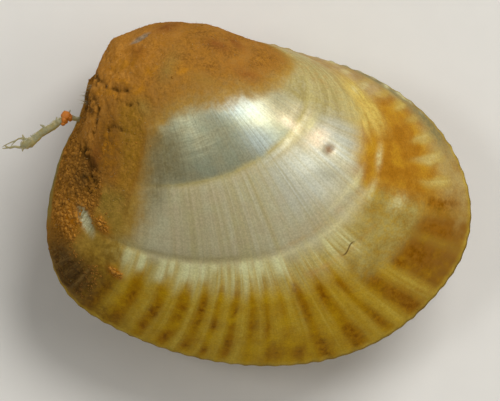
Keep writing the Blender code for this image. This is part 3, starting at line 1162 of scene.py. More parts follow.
    damage_and_gleam: tuple[Coat, ...] = (
        Coat("streaks", (206, 196, 140), (186, 176, 120), 0.36, 0.1, 0.62, 0.5),
        Coat("yellow_streaks", (210, 184, 98), (196, 164, 78), 0.34, 0.1, 0.62, 0.4, LINES),
        # Painted highlight: a pink gleam by the pit and a glint beside it.
        Coat("gleam", (234, 216, 184), (226, 202, 168), 0.3, 0.25, 0.75),
        Coat("clumps", (180, 110, 18), (146, 90, 12), 0.85, 0, 1, 0.7, FINE, FINE),
        Coat("worn_lens", (150, 140, 122), (116, 98, 74), 0.5, 0, 0.8, 0.3, MEDIUM, MEDIUM),
        Coat("white_lens", (196, 192, 154), (140, 132, 88), 0.42, 0, 1, 0.25, FINE, RIBS),
        Coat("pit", (156, 120, 84), (132, 98, 62), 0.5, 0, 1, 0.2),
    )
    crack_tone: Colour = tone(70, 44, 10)
    dots: Colour = tone(74, 46, 8)

    def patterns(self, sheet: NodeSheet) -> Patterns:
        """Return the patterns that the coats share, each spread to 0 to 1.

        Args:
            sheet: The material's nodes.

        Returns:
            The patterns by grain.
        """
        noises = {
            FINE: sheet.noise(16000.0, 3.0, 0.6),
            MEDIUM: sheet.noise(5200.0, 4.0, 0.6),
            COARSE: sheet.noise(1700.0, 4.0, 0.55),
            RIBS: sheet.noise(1.0, 1.5, vector=sheet.growth((46.0, 46.0, 1.5))),
            BANDS: sheet.noise(1.0, vector=sheet.growth((14.0, 14.0, 2.0))),
            LINES: sheet.noise(1.0, vector=sheet.growth((3.0, 3.0, 95.0))),
        }
        return {grain: sheet.ramp(value, 0.30, 0.70) for grain, value in noises.items()}

    def lay(self, sheet: NodeSheet, coat: Coat, patterns: Patterns, below: Look) -> Look:
        """Lay one coat over what is below it.

        Args:
            sheet: The material's nodes.
            coat: The coat.
            patterns: Patterns that break it up.
            below: Colour, roughness and metal of what it covers.

        Returns:
            Colour, roughness and metal with the coat on.
        """
        cover = sheet.sum("MULTIPLY_ADD", patterns[coat.cover], 2.0 * coat.patchy * coat.strength,
                          (1.0 - coat.patchy) * coat.strength)
        share = sheet.sum("MULTIPLY", sheet.mask(coat.mask), cover, clamp=True)
        return (sheet.blend(share, below[0], coat.colour(sheet, patterns)),
                sheet.shift(share, below[1], coat.roughness),
                sheet.shift(share, below[2], coat.metallic))

    def dotted(self, sheet: NodeSheet, colour: object) -> bpy.types.NodeSocket:
        """Return a colour with small dark dots on the brown blotches and crust.

        Args:
            sheet: The material's nodes.
            colour: Colour that is already there.

        Returns:
            The colour with its dots.
        """
        cells = sheet.feed(sheet.add("ShaderNodeTexVoronoi"),
                           {"Vector": sheet.body(), "Scale": 6500.0})
        dot = sheet.ramp(cells.outputs["Distance"], 0.08, 0.20, 1.0, 0.0)
        pick = sheet.ramp(sheet.noise(3200.0, 1.0), 0.58, 0.66)
        brown = sheet.sum("MULTIPLY_ADD", sheet.mask("crust"), 0.35, sheet.mask("blotches"))
        share = sheet.sum("MULTIPLY", sheet.sum("MULTIPLY", dot, pick), brown, clamp=True)
        return sheet.blend(sheet.sum("MULTIPLY", share, 0.6), colour, self.dots)

    def cracked(self, sheet: NodeSheet, colour: object) -> bpy.types.NodeSocket:
        """Return a colour with the dark line of the crack in it."""
        line = sheet.stroke(DamageAndGleam.crack_middle, 42.0, 0.78, 0.16, 0.045)
        return sheet.blend(sheet.sum("MULTIPLY", line, 0.85), colour, self.crack_tone)

    def bump(self, sheet: NodeSheet, patterns: Patterns) -> bpy.types.NodeSocket:
        """Return the fine relief: ribs and growth lines on bare shell, grit on the crust.

        Args:
            sheet: The material's nodes.
            patterns: Patterns that break the coats up.

        Returns:
            Normals for the shader.
        """
        lines = sheet.sum("MULTIPLY", patterns[LINES], 0.036)
        bare = sheet.sum("MULTIPLY_ADD", patterns[RIBS], 0.018, lines)
        height = sheet.shift(sheet.mask("crust"), bare, sheet.noise(9000.0, 5.0, 0.70))
        return sheet.bump(height, 0.05)

    def material(self, damaged: bool) -> bpy.types.Material:
        """Return the material.

        Args:
            damaged: Whether the valve has the damage marks and the painted highlight.

        Returns:
            The material, with a chain of coats.
        """
        sheet = NodeSheet(self.name)
        patterns = self.patterns(sheet)
        look = (self.skin.colour(sheet, patterns), self.skin.roughness, 0.0)
        for coat in self.coats + (self.damage_and_gleam if damaged else ()):
            look = self.lay(sheet, coat, patterns, look)
        shade = sheet.sum("MULTIPLY_ADD", patterns[FINE], 0.24, 0.88)
        colour = self.dotted(sheet, look[0])
        if damaged:
            colour = self.cracked(sheet, colour)
        scaled = sheet.feed(sheet.add("ShaderNodeVectorMath", operation="SCALE"),
                            {0: colour, "Scale": shade})
        return sheet.finished({
            "Base Color": scaled.outputs["Vector"], "Roughness": look[1], "Metallic": look[2],
            "Specular IOR Level": self.specular, "Normal": self.bump(sheet, patterns)})


@dataclass
class ShellSkin:
    """The sculpted outside of a valve, for the small things that stand on it."""

    coordinates: ShellField
    points: np.ndarray
    marks: dict[str, np.ndarray]

    @property
    def normals(self) -> np.ndarray:
        """Return the outward normals."""
        return normals_of(self.points)

    @property
    def areas(self) -> np.ndarray:
        """Return the area that each point stands for, with no place at the tip and margin.

        Returns:
            Areas in square mm.
        """
        along = np.roll(self.points, -1, axis=1) - self.points
        out = np.gradient(self.points, axis=0)
        area = np.linalg.norm(np.cross(along, out), axis=2)
        return area * rise(0.06, 0.12, self.coordinates.scale) * (self.coordinates.scale < 0.985)

    def under(self, spot: Spot) -> tuple[np.ndarray, np.ndarray]:
        """Return the highest point of the outside near a spot, and its normal.

        Args:
            spot: The spot, in mm from the beak.

        Returns:
            The point and its normal, both in mm.
        """
        gap = np.linalg.norm(self.points[..., :2] - spot, axis=2)
        height = np.where(gap < max(0.08, gap.min() + 0.02), self.points[..., 2], -1e9)
        place = np.unravel_index(int(height.argmax()), height.shape)
        return self.points[place], self.normals[place]


@dataclass
class Valve:
    """One valve: the sculpted outside, the sharp margin and the smooth inside."""

    name: str
    node: str
    side: Side
    columns: int
    rows: int
    seed: float
    inner_rows: int = 15
    wall: float = 0.45
    lip: float = 0.40
    cavity_centre: Spot = (3.9, -4.2)
    worn_edge: float = 0.12

    def scales(self, plan: GrowthPlan) -> np.ndarray:
        """Return the growth scale of each row of the outside."""
        share = np.linspace(0.0, 1.0, self.rows)
        return plan.beak_scale + (1.0 - plan.beak_scale) * share ** 1.05

    def inside(self, outside: np.ndarray) -> np.ndarray:
        """Return the inside surface, from the lip to the middle of the cavity.

        Args:
            outside: Sculpted outside.

        Returns:
            The points, inner_rows by columns by 3.
        """
        count = outside.shape[1]
        quads = [(r * count + c, r * count + (c + 1) % count, (r + 1) * count + (c + 1) % count,
                  (r + 1) * count + c) for r in range(0, self.rows - 1, 3) for c in range(count)]
        tree = BVHTree.FromPolygons(outside.reshape(-1, 3).tolist(), quads)
        centre = np.array(self.cavity_centre)
        margin = outside[-1, :, :2]
        inwards = centre - margin
        lip = margin + self.lip * inwards / np.linalg.norm(inwards, axis=1)[:, None]
        rows = []
        for row in range(1, self.inner_rows + 1):
            share = math.cos(0.5 * math.pi * (row - 1) / self.inner_rows)
            spots = centre + share * (lip - centre)
            roof = [tree.ray_cast(Vector((x, y, FAR_ABOVE)), DOWN)[0] for x, y in spots]
            heights = np.array([hit.z if hit is not None else 0.0 for hit in roof])
            slope = 1.0 + 1.6 * share ** 6
            heights = np.maximum(heights - self.wall * slope, HALF_GAP)
            if row == 1:
                heights[:] = HALF_GAP
            rows.append(np.column_stack([spots, heights]))
        return np.array(rows)

    def mesh(self, outside: np.ndarray, inside: np.ndarray) -> bpy.types.Mesh:
        """Return the closed mesh of the valve.

        Args:
            outside: Sculpted outside, from the beak to the margin.
            inside: Inside, from the lip to the middle.

        Returns:
            The mesh, in the frame's metres.
        """
        grid = np.concatenate([outside, inside])
        total, count = grid.shape[:2]
        ends = np.array([outside[0].mean(axis=0), inside[-1].mean(axis=0)])
        points = np.concatenate([grid.reshape(-1, 3), ends])
        low = REST_HEIGHT - self.worn_edge * 0.02
        if self.side is Side.LEFT:
            points[:, 2] = -np.minimum(points[:, 2], low)
        faces = [(row * count + column, (row + 1) * count + column,
                  (row + 1) * count + (column + 1) % count, row * count + (column + 1) % count)
                 for row in range(total - 1) for column in range(count)]
        tip, floor, last = total * count, total * count + 1, (total - 1) * count
        for column in range(count):
            after = (column + 1) % count
            faces += [(tip, column, after), (floor, last + after, last + column)]
        if self.side is Side.LEFT:
            faces = [face[::-1] for face in faces]
        mesh = bpy.data.meshes.new(self.name)
        mesh.from_pydata(framed(points).tolist(), [], faces)
        mesh.validate()
        mesh.shade_smooth()
        return mesh

    def mark(self, mesh: bpy.types.Mesh, marks: dict[str, np.ndarray], ring: np.ndarray) -> None:
        """Store the markings and growth coordinates on the mesh.

        Args:
            mesh: The valve's mesh.
            marks: Weights of the outside by name.
            ring: Growth coordinates of the outside.
        """
        count = len(mesh.vertices)
        used = ring.shape[0] * ring.shape[1]
        for name, weights in marks.items():
            values = np.zeros(count)
            values[:used] = weights.ravel()
            if name == "pearl":
                values[used:] = 1.0
            store(mesh, name, values)
        values = np.zeros((count, 3))
        values[:used] = ring.reshape(-1, 3)
        values[used:, 0] = 1.0
        store(mesh, "ring", values)

    def build(self, plan: GrowthPlan, finish: ShellFinish) -> tuple[bpy.types.Object, ShellSkin]:
        """Build the valve and put it in place of its solid.

        Args:
            plan: How the valve grew.
            finish: Its finish.

        Returns:
            The valve's object, and its outside.
        """
        scales = self.scales(plan)
        smooth = plan.surface(scales, self.columns)
        rows = np.repeat(scales[:, None], self.columns, axis=1)
        field = ShellField(smooth, rows, plan.rays(smooth, scales), self.seed)
        markings = Markings()
        sculpture = Sculpture()
        marks = markings.all(field)
        damaged = self.side is Side.RIGHT
        heights = sculpture.heights(field, marks, markings.growth_lines)
        if damaged:
            damage_and_gleam = DamageAndGleam()
            marks.update(damage_and_gleam.marks(field))
            heights = heights + damage_and_gleam.relief(marks)
        outside = sculpture.shaped(field, heights)
        mesh = self.mesh(outside, self.inside(outside))
        self.mark(mesh, marks, field.ring)
        mesh.materials.append(finish.material(damaged))
        valve = add_object(self.name, mesh)
        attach(valve, BODY)
        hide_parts(self.node)
        return valve, ShellSkin(field, outside, marks)


class MeshStock:
    """Closed forms gathered into one mesh, with a few weights at each point."""

    def __init__(self, name: str) -> None:
        """Start an empty mesh of this name.

        Args:
            name: Name of the mesh.
        """
        self.name = name
        self.points: list[np.ndarray] = []
        self.faces: list[np.ndarray] = []
        self.weights: dict[str, list[np.ndarray]] = {}
        self.used = 0

    def add(self, points: np.ndarray, faces: np.ndarray, **weights: object) -> None:
        """Add a form.

        Args:
            points: Its points, in mm from the beak.
            faces: Its faces, by the numbers of its own points.
            weights: Values for all of its points, or one for each.
        """
        self.points.append(points)
        self.faces.append(faces + self.used)
        self.used += len(points)
        for name, values in weights.items():
            spread = np.broadcast_to(np.asarray(values, dtype=float), len(points))
            self.weights.setdefault(name, []).append(spread)

    def tube(self, line: np.ndarray, radii: np.ndarray, sides: int, flatness: float = 1.0,
             rough: float = 0.0, **weights: object) -> None:
        """Add a tube along a line, closed at both ends.

        Args:
            line: Points of its middle.
            radii: Half width at each of them.
            sides: Faces round it.
            flatness: Height over width.
            rough: Share of the width by which the wall is lumpy.
            weights: Values for the whole tube.
        """
        ahead = np.gradient(line, axis=0)
        ahead /= np.linalg.norm(ahead, axis=1)[:, None]
        across = np.cross(ahead, (0.21, 0.13, 0.97))
        across /= np.linalg.norm(across, axis=1)[:, None]
        up = np.cross(across, ahead)
        turn = np.arange(sides) / sides * math.tau
        ring = (np.cos(turn)[None, :, None] * across[:, None, :]
                + flatness * np.sin(turn)[None, :, None] * up[:, None, :])
        wall = line[:, None, :] + radii[:, None, None] * ring
        if rough:
            lumps = 1.0 + rough * cloud(wall, 0.16, 4, 7.0)
            wall = line[:, None, :] + (radii[:, None] * lumps)[..., None] * ring
        points = np.concatenate([wall.reshape(-1, 3), line[:1], line[-1:]])
        rows, side = np.meshgrid(np.arange(len(line) - 1), np.arange(sides), indexing="ij")
        here = (rows * sides + side).ravel()
        after = (rows * sides + (side + 1) % sides).ravel()
        first, last = len(points) - 2, len(points) - 1
        round_first, round_next = np.arange(sides), (np.arange(sides) + 1) % sides
        end = (len(line) - 1) * sides
        faces = np.concatenate([
            np.column_stack([here, after, after + sides]),
            np.column_stack([here, after + sides, here + sides]),
            np.column_stack([round_next, round_first, np.full(sides, first)]),
            np.column_stack([end + round_first, end + round_next, np.full(sides, last)]),
        ])
        edge = np.append(np.tile(rise(0.6, 1.0, -np.cos(turn)), len(line)), (0.0, 0.0))
        self.add(points, faces, edge=edge, **weights)

    def piece(self, material: bpy.types.Material, slot: str, side: Side = Side.RIGHT,
              node: str = "") -> bpy.types.Object:
        """Make the object.

        Args:
            material: Its material.
            slot: Not used.
            side: LEFT turns the forms over onto the lower valve.
            node: Solid that it stands in for, if any.

        Returns:
            The object, riding on the shell.
        """
        points = np.concatenate(self.points)
        faces = np.concatenate(self.faces)
        if side is Side.LEFT:
            points[:, 2] = -np.minimum(points[:, 2], REST_HEIGHT - 0.003)
            faces = faces[:, ::-1]
        mesh = bpy.data.meshes.new(self.name)
        mesh.from_pydata(framed(points).tolist(), [], faces.tolist())
        mesh.shade_smooth()
        for name, values in self.weights.items():
            store(mesh, name, np.concatenate(values))
        mesh.materials.append(material)
        piece = add_object(self.name, mesh)
        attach(piece, BODY)
        if node:
            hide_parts(node)
        return piece


@dataclass(frozen=True)
class GrainFinish:
    """Rust of the loose grains: bright on top, and painted shade where a grain sits in the crust.
    """

    bright: Colour = tone(172, 118, 42)
    brown: Colour = tone(128, 86, 26)
    # Painted shade at the foot of each grain.
    grain_foot_shade: Colour = tone(108, 70, 22)
    # Dark brown for grains on the dark patch, and painted shade for grains on the crust's shaded
    # spots.
    patch_and_shade_brown: Colour = tone(78, 54, 20)

    def material(self) -> bpy.types.Material:
        """Return the material.

        Returns:
            The material.
        """
        sheet = NodeSheet("grain_finish")
        speck = sheet.noise(24000.0, 3.0, 0.6)
        cloudy = sheet.noise(2400.0, 3.0)
        spread = sheet.sum("MULTIPLY_ADD", sheet.mask("hue"), 0.26, cloudy)
        pick = sheet.ramp(sheet.sum("MULTIPLY_ADD", speck, 0.5, spread), 0.58, 1.10)
        colour = sheet.blend(pick, self.brown, self.bright)
        # Darker on the dark patch, and painted shade on the crust's shaded spots.
        colour = sheet.blend(sheet.mask("gloom"), colour, self.patch_and_shade_brown)
        # Painted shade: each grain darkens towards its foot.
        colour = sheet.blend(sheet.ramp(sheet.mask("lift"), 0.15, 0.75), self.grain_foot_shade, colour)
        return sheet.finished({
            "Base Color": colour, "Roughness": sheet.ramp(speck, 0.3, 0.7, 0.80, 0.95),
            "Specular IOR Level": 0.10, "Normal": sheet.bump(speck, 0.01)})


@dataclass
class CrustGrains:
    """Loose rust grains that stand close together on the rear end and thin out elsewhere."""

    name: str
    side: Side
    count: int
    seed: int
    large: float = 0.046
    small: float = 0.020
    spread: float = 0.45

    def density(self, skin: ShellSkin) -> tuple[np.ndarray, np.ndarray]:
        """Return where the grains stand, and where they are dense and large.

        Args:
            skin: Outside of the valve.

        Returns:
            Weight of each place, and how far it belongs to the dense rear, from 0 to 1.
        """
        ray, scale = skin.coordinates.ray, skin.coordinates.scale
        rear = between(0.756, 0.930, 0.016, ray) * between(0.56, 0.890, 0.03, scale)
        below = between(0.700, 0.770, 0.008, ray) * between(0.83, 0.955, 0.01, scale)
        rear = np.maximum(rear, below * 0.55)
        clumps = skin.marks.get("clumps", np.zeros(ray.shape))
        rear = np.maximum(rear, rise(0.35, 0.7, clumps))
        patches = rise(-0.55, 0.25, cloud(skin.points, 0.45, 3, self.seed + 3.0))
        flank = skin.marks["crust"] * between(0.735, 0.985, 0.02, ray) * rise(0.22, 0.30, scale)
        weight = rear * (0.25 + 0.75 * patches) + 0.16 * flank * patches
        weight = weight + 0.012 * skin.marks["crust"]
        hollow = np.maximum(skin.marks.get("white_lens", 0.0), 0.85 * skin.marks["shaded_crevices"])
        return weight * (1.0 - hollow), rear

    def build(self, skin: ShellSkin, finish: GrainFinish) -> bpy.types.Object:
        """Scatter the grains over a valve.

        Args:
            skin: Outside of the valve.
            finish: Their finish.

        Returns:
            The piece.
        """
        rng = np.random.default_rng(self.seed)
        weight, rear = self.density(skin)
        chance = (weight * skin.areas).ravel()
        picked = rng.choice(chance.size, size=self.count, p=chance / chance.sum())
        centres = skin.points.reshape(-1, 3)[picked]
        normals = skin.normals.reshape(-1, 3)[picked]
        size = self.small + (self.large - self.small) * rear.ravel()[picked] * rng.uniform(0.5, 1.0)
        size = size * np.exp(self.spread * np.clip(rng.standard_normal(self.count), -1.8, 2.0))
        form = bmesh.new()
        bmesh.ops.create_icosphere(form, subdivisions=2, radius=1.0)
        ball = np.array([vert.co[:] for vert in form.verts])
        faces = np.array([[vert.index for vert in face.verts] for face in form.faces])
        form.free()
        side = np.cross(normals, rng.standard_normal((self.count, 3)))
        side /= np.linalg.norm(side, axis=1)[:, None]
        third = np.cross(normals, side)
        # Grains darken on the dark patch, and with painted shade on the crust's shaded spots.
        gloom = np.maximum(skin.marks["patch"], 0.75 * skin.marks["shade"]).ravel()[picked]
        dense = rear.ravel()[picked]
        bright = skin.marks["gold_spots"].ravel()[picked]
        stock = MeshStock(self.name)
        for i in range(self.count):
            waves = ball @ rng.standard_normal((3, 4)) * 1.9 + rng.uniform(0.0, 6.28, 4)
            reach = 1.0 + 0.15 * np.sin(waves).sum(axis=1)
            local = ball * reach[:, None] * (1.0, rng.uniform(0.65, 1.0), rng.uniform(0.55, 0.8))
            spots = local @ np.stack([side[i], third[i], normals[i]]) * size[i]
            shift = rng.uniform(-0.5, 0.5, 2) * 0.07
            middle = centres[i] + shift[0] * side[i] + shift[1] * third[i]
            middle = middle - 0.10 * size[i] * normals[i]
            hue = rng.uniform() * (0.4 + 0.6 * dense[i]) + 0.7 * bright[i]
            stock.add(middle + spots, faces, hue=hue, gloom=gloom[i],
                      lift=np.clip(0.5 + 0.6 * local[:, 2], 0.0, 1.0))
        return stock.piece(finish.material(), "shell", self.side)


@dataclass(frozen=True)
class TuftFinish:
    """Dull pale grey filaments, brown where they grow out of the crust."""

    pale: Colour = tone(178, 164, 122)
    dull: Colour = tone(96, 70, 34)

    def material(self) -> bpy.types.Material:
        """Return the material.

        Returns:
            The material.
        """
        sheet = NodeSheet("tuft_finish")
        streak = sheet.noise(15000.0, 3.0, 0.6)
        share = sheet.ramp(sheet.sum("MULTIPLY_ADD", streak, 0.6, sheet.mask("reach")), 0.3, 1.1)
        return sheet.finished({
            "Base Color": sheet.blend(share, self.dull, self.pale),
            "Roughness": sheet.ramp(streak, 0.3, 0.7, 0.55, 0.8), "Specular IOR Level": 0.2})


@dataclass
class Tuft:
    """Short frayed filaments at the beak, and a fine fuzz on the crust."""

    name: str
    side: Side
    seed: int
    fuzz: int
    roots: tuple[Spot, ...] = ((87, 92), (86, 96), (86, 100), (87, 104), (90, 88))
    strands: int = 7
    length: float = 0.30
    width: float = 0.009
    fuzz_length: float = 0.09
    fuzz_width: float = 0.005
    sides: int = 5
    steps: int = 7

    def strand(self, stock: MeshStock, rng: np.random.Generator, root: np.ndarray,
               way: np.ndarray, length: float, width: float) -> None:
        """Add one curved filament that tapers.

        Args:
            stock: Mesh that it goes into.
            rng: Source of its bends.
            root: Where it leaves the crust.
            way: Direction in which it leaves, of any length.
            length: Length in mm.
            width: Half width at the root, in mm.
        """
        share = np.linspace(-0.15, 1.0, self.steps)
        bend = rng.normal(0.0, 0.22, 3)
        way = way / np.linalg.norm(way)
        line = root + length * (share[:, None] * way + (share ** 2)[:, None] * bend)
        radii = width * (1.0 - 0.8 * np.clip(share, 0.0, 1.0))
        reach = np.append(np.repeat(np.clip(share, 0.0, 1.0), self.sides), (0.0, 1.0))
        stock.tube(line, radii, self.sides, reach=reach)

    def build(self, skin: ShellSkin, finish: TuftFinish) -> bpy.types.Object:
        """Grow the filaments on a valve.

        Args:
            skin: Outside of the valve.
            finish: Their finish.

        Returns:
            The piece.
        """
        rng = np.random.default_rng(self.seed)
        stock = MeshStock(self.name)
        for spot in self.roots:
            root, normal = skin.under(photo_spot(*spot))
            for _ in range(self.strands):
                way = np.array((-1.0, 0.15, -0.10)) + 0.15 * normal + rng.normal(0.0, 0.30, 3)
                start = root + rng.normal(0.0, 0.04, 3) * (1.0, 1.0, 0.3)
                length = self.length * rng.uniform(0.45, 1.0)
                width = self.width * rng.uniform(0.6, 1.2)
                self.strand(stock, rng, start, way, length, width)
        chance = (skin.marks["crust"] * skin.areas).ravel()
        picked = rng.choice(chance.size, size=self.fuzz, p=chance / chance.sum())
        roots = skin.points.reshape(-1, 3)[picked]
        for root, normal in zip(roots, skin.normals.reshape(-1, 3)[picked]):
            way = normal + rng.normal(0.0, 0.45, 3)
            length = self.fuzz_length * rng.uniform(0.4, 1.1)
            self.strand(stock, rng, root, way, length, self.fuzz_width)
        return stock.piece(finish.material(), "shell", self.side)


@dataclass(frozen=True)
class ThreadFinish:
    """Half clear greenish fibre with yellow edges and an orange lump."""

    clear: Colour = tone(150, 146, 108)
    edge: Colour = tone(176, 150, 60)
    lump: Colour = tone(190, 112, 30)
    roughness: float = 0.45
    transmission: float = 0.35

    def material(self) -> bpy.types.Material:
        """Return the material.

        Returns:
            The material.
        """
        sheet = NodeSheet("thread_finish")
        streak = sheet.ramp(sheet.noise(7000.0, 4.0, 0.6), 0.35, 0.65)
        colour = sheet.blend(sheet.sum("MULTIPLY", streak, 0.5), self.clear, self.edge)
        colour = sheet.blend(sheet.mask("edge"), colour, self.edge)
        colour = sheet.blend(sheet.mask("lump"), colour, self.lump)
        clear = sheet.ramp(sheet.mask("lump"), 0.0, 1.0, self.transmission, 0.0)
        return sheet.finished({
            "Base Color": colour, "Roughness": self.roughness, "IOR": 1.4,
            "Transmission Weight": clear,
            "Normal": sheet.bump(sheet.noise(12000.0, 3.0, 0.6), 0.02)})


@dataclass
class Thread:
    """The stiff thread: a lumpy tube with an orange lump, small spikes and a frayed end."""

    name: str = "thread_fibre"
    node: str = "thread"
    body: tuple[tuple[float, float, float], ...] = (
        (96, 121, 3), (86, 120.5, 3.3), (80, 119.6, 3), (75.5, 118.6, 2.5),
        (71, 117.6, 2.6), (66, 118.2, 3.2), (61.5, 120.6, 3.4), (57, 123.2, 3.9),
        (52, 127, 3.9), (46, 130.6, 4.2), (40.5, 134, 3.8), (36, 137.6, 4),
        (31.5, 141.2, 5), (27.5, 143.6, 5.6), (23.5, 144.6, 4.6), (20.6, 144.8, 2.2),
    )
    lumps: tuple[tuple[float, float, float, float], ...] = (
        (66.2, 116.6, 5, 4.6), (64.6, 119.8, 4, 4.2), (63, 123.6, 2.4, 2.6),
        (69.6, 118, 3.4, 3.2),
    )
    spikes: tuple[tuple[tuple[float, float, float], ...], ...] = (
        ((57.5, 120.5, 1.2), (57, 118.6, 0.9), (56.6, 117, 0.4)),
        ((45, 127.5, 1.5), (42.6, 125.8, 1.1), (40.2, 125, 0.4)),
        ((33, 138, 1.2), (31.5, 136, 0.8), (30.6, 134.8, 0.3)),
        ((25, 139.5, 1.6), (23.4, 136.6, 1.1), (22.6, 134.6, 0.4)),
        ((24, 147, 1.6), (23, 149.6, 1.1), (22.8, 151.6, 0.4)),
        ((66, 113, 1), (65.2, 111.4, 0.7), (64.2, 110.6, 0.3)),
        ((69, 113.5, 1), (70, 111.2, 0.7), (70.6, 109.8, 0.3)),
        ((27, 139, 1.4), (20, 138.6, 1), (16, 140.6, 0.7), (11, 142.6, 0.6),
         (6, 145, 0.5), (2.4, 147.4, 0.2)),
        ((26, 147, 1.5), (20, 147.4, 1.3), (15, 146.6, 1.1), (10, 147.6, 1.3),
         (6.5, 146.4, 0.7), (4, 145.2, 0.3)),
        ((10, 147.2, 0.9), (6.5, 148.2, 0.7), (2.6, 148.6, 0.3)),
        ((16, 141, 0.6), (13, 144, 0.5), (11, 147, 0.4)),
    )
    heights: tuple[tuple[float, float], ...] = (
        (2, 0.38), (14, 0.36), (25, 0.34), (35, 0.36), (50, 0.38), (63, 0.34),
        (71, 0.3), (79, 0.26), (85, 0.16), (96, 0.1),
    )
    sides: int = 32
    flatness: float = 0.72

    def height(self, pixel: np.ndarray) -> np.ndarray:
        """Return how high the thread runs over the hinge plane, by pixel x."""
        return np.interp(pixel, *np.transpose(self.heights))

    def curve(self, spots: tuple[tuple[float, float, float], ...],
              count: int) -> tuple[np.ndarray, np.ndarray]:
        """Return a smooth line through spots of the photograph.

        Args:
            spots: Pixel x and y, and half width in pixels.
            count: Points wanted.

        Returns:
            The line in mm from the beak, and its half widths.
        """
        knots = np.array(spots)
        knots = np.concatenate([[2.0 * knots[0] - knots[1]], knots, [2.0 * knots[-1] - knots[-2]]])
        runs = len(spots) - 1
        line = []
        for step in np.linspace(0.0, runs, count):
            i = min(int(step), runs - 1)
            u = step - i
            before, start, end, after = knots[i:i + 4]
            line.append(0.5 * (2.0 * start + (end - before) * u
                               + (2.0 * before - 5.0 * start + 4.0 * end - after) * u ** 2
                               + (3.0 * start - before - 3.0 * end + after) * u ** 3))
        path = np.array(line)
        x, y = photo_spot(path[:, 0], path[:, 1])
        radii = np.maximum(path[:, 2], 0.15) * MM_PER_PIXEL
        return np.column_stack([x, y, self.height(path[:, 0])]), radii

    def build(self, finish: ThreadFinish) -> bpy.types.Object:
        """Build the fibre and put it in place of its solid.

        Args:
            finish: Its finish.

        Returns:
            The fibre's object.
        """
        stock = MeshStock(self.name)
        line, radii = self.curve(self.body, 150)
        stock.tube(line, radii, self.sides, self.flatness, 0.22, lump=0.0)
        share = np.linspace(-0.998, 0.998, 26)
        for x, y, long, wide in self.lumps:
            middle = np.array((*photo_spot(x, y), self.height(x)))
            line = middle + wide * MM_PER_PIXEL * share[:, None] * (0.0, 0.0, 1.0)
            radii = long * MM_PER_PIXEL * np.sqrt(1.0 - share ** 2)
            stock.tube(line, radii, 28, 1.0, 0.30, lump=1.0)
        for spots in self.spikes:
            line, radii = self.curve(spots, 6 * len(spots))
            stock.tube(line, radii, 8, 1.0, 0.25, lump=0.0)
        return stock.piece(finish.material(), "thread", node=self.node)


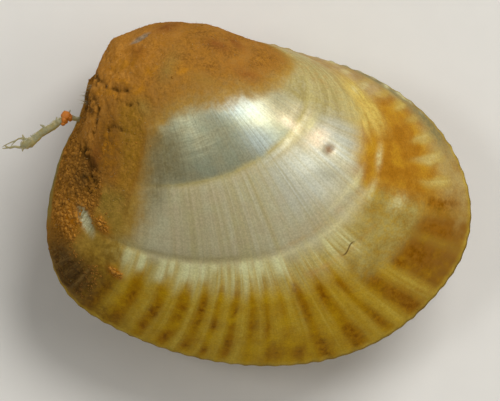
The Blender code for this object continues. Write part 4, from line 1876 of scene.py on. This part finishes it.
@dataclass
class Studio:
    """Pale floor, soft light and the camera that looks straight down."""

    floor_size: float = 1.2
    floor_tone: Colour = tone(214, 211, 204)
    world_tone: Colour = (0.96, 0.95, 0.92)
    world_strength: float = 0.30
    lens: float = 600.0
    sensor: float = 36.0
    lamps: tuple[tuple[str, float, float, float, float, float], ...] = (
        ("key_lamp", 56.0, 51.0, 0.40, 0.22, 1.20),
        ("front_lamp", 5.0, 47.0, 0.40, 0.22, 0.28),
        ("side_lamp", 166.0, 64.0, 0.40, 0.10, 0.22),
    )

    def place_floor(self) -> None:
        """Lay the floor under the shell."""
        half = self.floor_size / 2.0
        corners = [(-half, -half, 0.0), (half, -half, 0.0), (half, half, 0.0), (-half, half, 0.0)]
        mesh = bpy.data.meshes.new("floor")
        mesh.from_pydata(corners, [], [(0, 1, 2, 3)])
        sheet = NodeSheet("floor_finish")
        grain = sheet.ramp(sheet.noise(900.0, 3.0), 0.3, 0.7)
        darker = tuple(part * 0.985 for part in self.floor_tone)
        mesh.materials.append(sheet.finished({
            "Base Color": sheet.blend(grain, self.floor_tone, darker), "Roughness": 0.85}))
        floor = add_object("floor", mesh)
        floor.location.z = -0.01 * MM

    def light(self) -> None:
        """Hang the soft lamps and set the light of the room."""
        world = bpy.data.worlds.new("room")
        world.use_nodes = True
        back = world.node_tree.nodes["Background"]
        back.inputs["Color"].default_value = (*self.world_tone, 1.0)
        back.inputs["Strength"].default_value = self.world_strength
        bpy.context.scene.world = world
        target = Vector((0.0, 0.0, REST_HEIGHT * MM))
        for name, azimuth, height, reach, size, power in self.lamps:
            data = bpy.data.lights.new(name, "AREA")
            data.shape = "DISK"
            data.size = size
            data.energy = power
            lamp = add_object(name, data)
            turn, lift = math.radians(azimuth), math.radians(height)
            way = Vector((math.cos(turn) * math.cos(lift), math.sin(turn) * math.cos(lift),
                          math.sin(lift)))
            lamp.location = target + way * reach
            lamp.rotation_mode = "QUATERNION"
            lamp.rotation_quaternion = way.to_track_quat("Z", "Y")

    def aim_camera(self) -> None:
        """Set the camera straight above the shell, framed as the photograph is."""
        width = PHOTO_SIZE[0] * MM_PER_PIXEL
        middle = photo_spot(PHOTO_SIZE[0] / 2.0, PHOTO_SIZE[1] / 2.0)
        data = bpy.data.cameras.new("camera")
        data.lens = self.lens
        data.sensor_width = self.sensor
        data.clip_start = MM
        data.clip_end = 10.0
        camera = add_object("camera", data)
        camera.location = place_of((middle[0], middle[1], width * self.lens / self.sensor))
        bpy.context.scene.camera = camera

    def build(self) -> None:
        """Set up the whole studio."""
        self.place_floor()
        self.light()
        self.aim_camera()
        bpy.context.scene.view_settings.view_transform = "Standard"


def main() -> None:
    """Build the pieces in order and report each."""
    logging.basicConfig(level=logging.INFO, format="%(name)s: %(message)s")
    Studio().build()
    plan = GrowthPlan()
    finish = ShellFinish()
    valves = (
        Valve("right_valve_shell", "right_valve", Side.RIGHT, 464, 186, 2.0),
        Valve("left_valve_shell", "left_valve", Side.LEFT, 432, 110, 57.0),
    )
    sorts = (
        (CrustGrains("upper_crust_grains", Side.RIGHT, 2300, 11),
         CrustGrains("upper_crust_crumbs", Side.RIGHT, 2300, 13, large=0.027, small=0.012)),
        (CrustGrains("lower_crust_grains", Side.LEFT, 1700, 12),),
    )
    tufts = (
        Tuft("beak_tuft", Side.RIGHT, 21, 240),
        Tuft("lower_fuzz", Side.LEFT, 22, 120, roots=()),
    )
    pieces = []
    for valve, grain_sorts, tuft in zip(valves, sorts, tufts):
        shell, skin = valve.build(plan, finish)
        pieces += [shell, tuft.build(skin, TuftFinish())]
        pieces += [sort.build(skin, GrainFinish()) for sort in grain_sorts]
    pieces.append(Thread().build(ThreadFinish()))
    for piece in pieces:
        LOG.info("%s: %d faces", piece.name, len(piece.data.polygons))


if __name__ == "__main__":
    main()
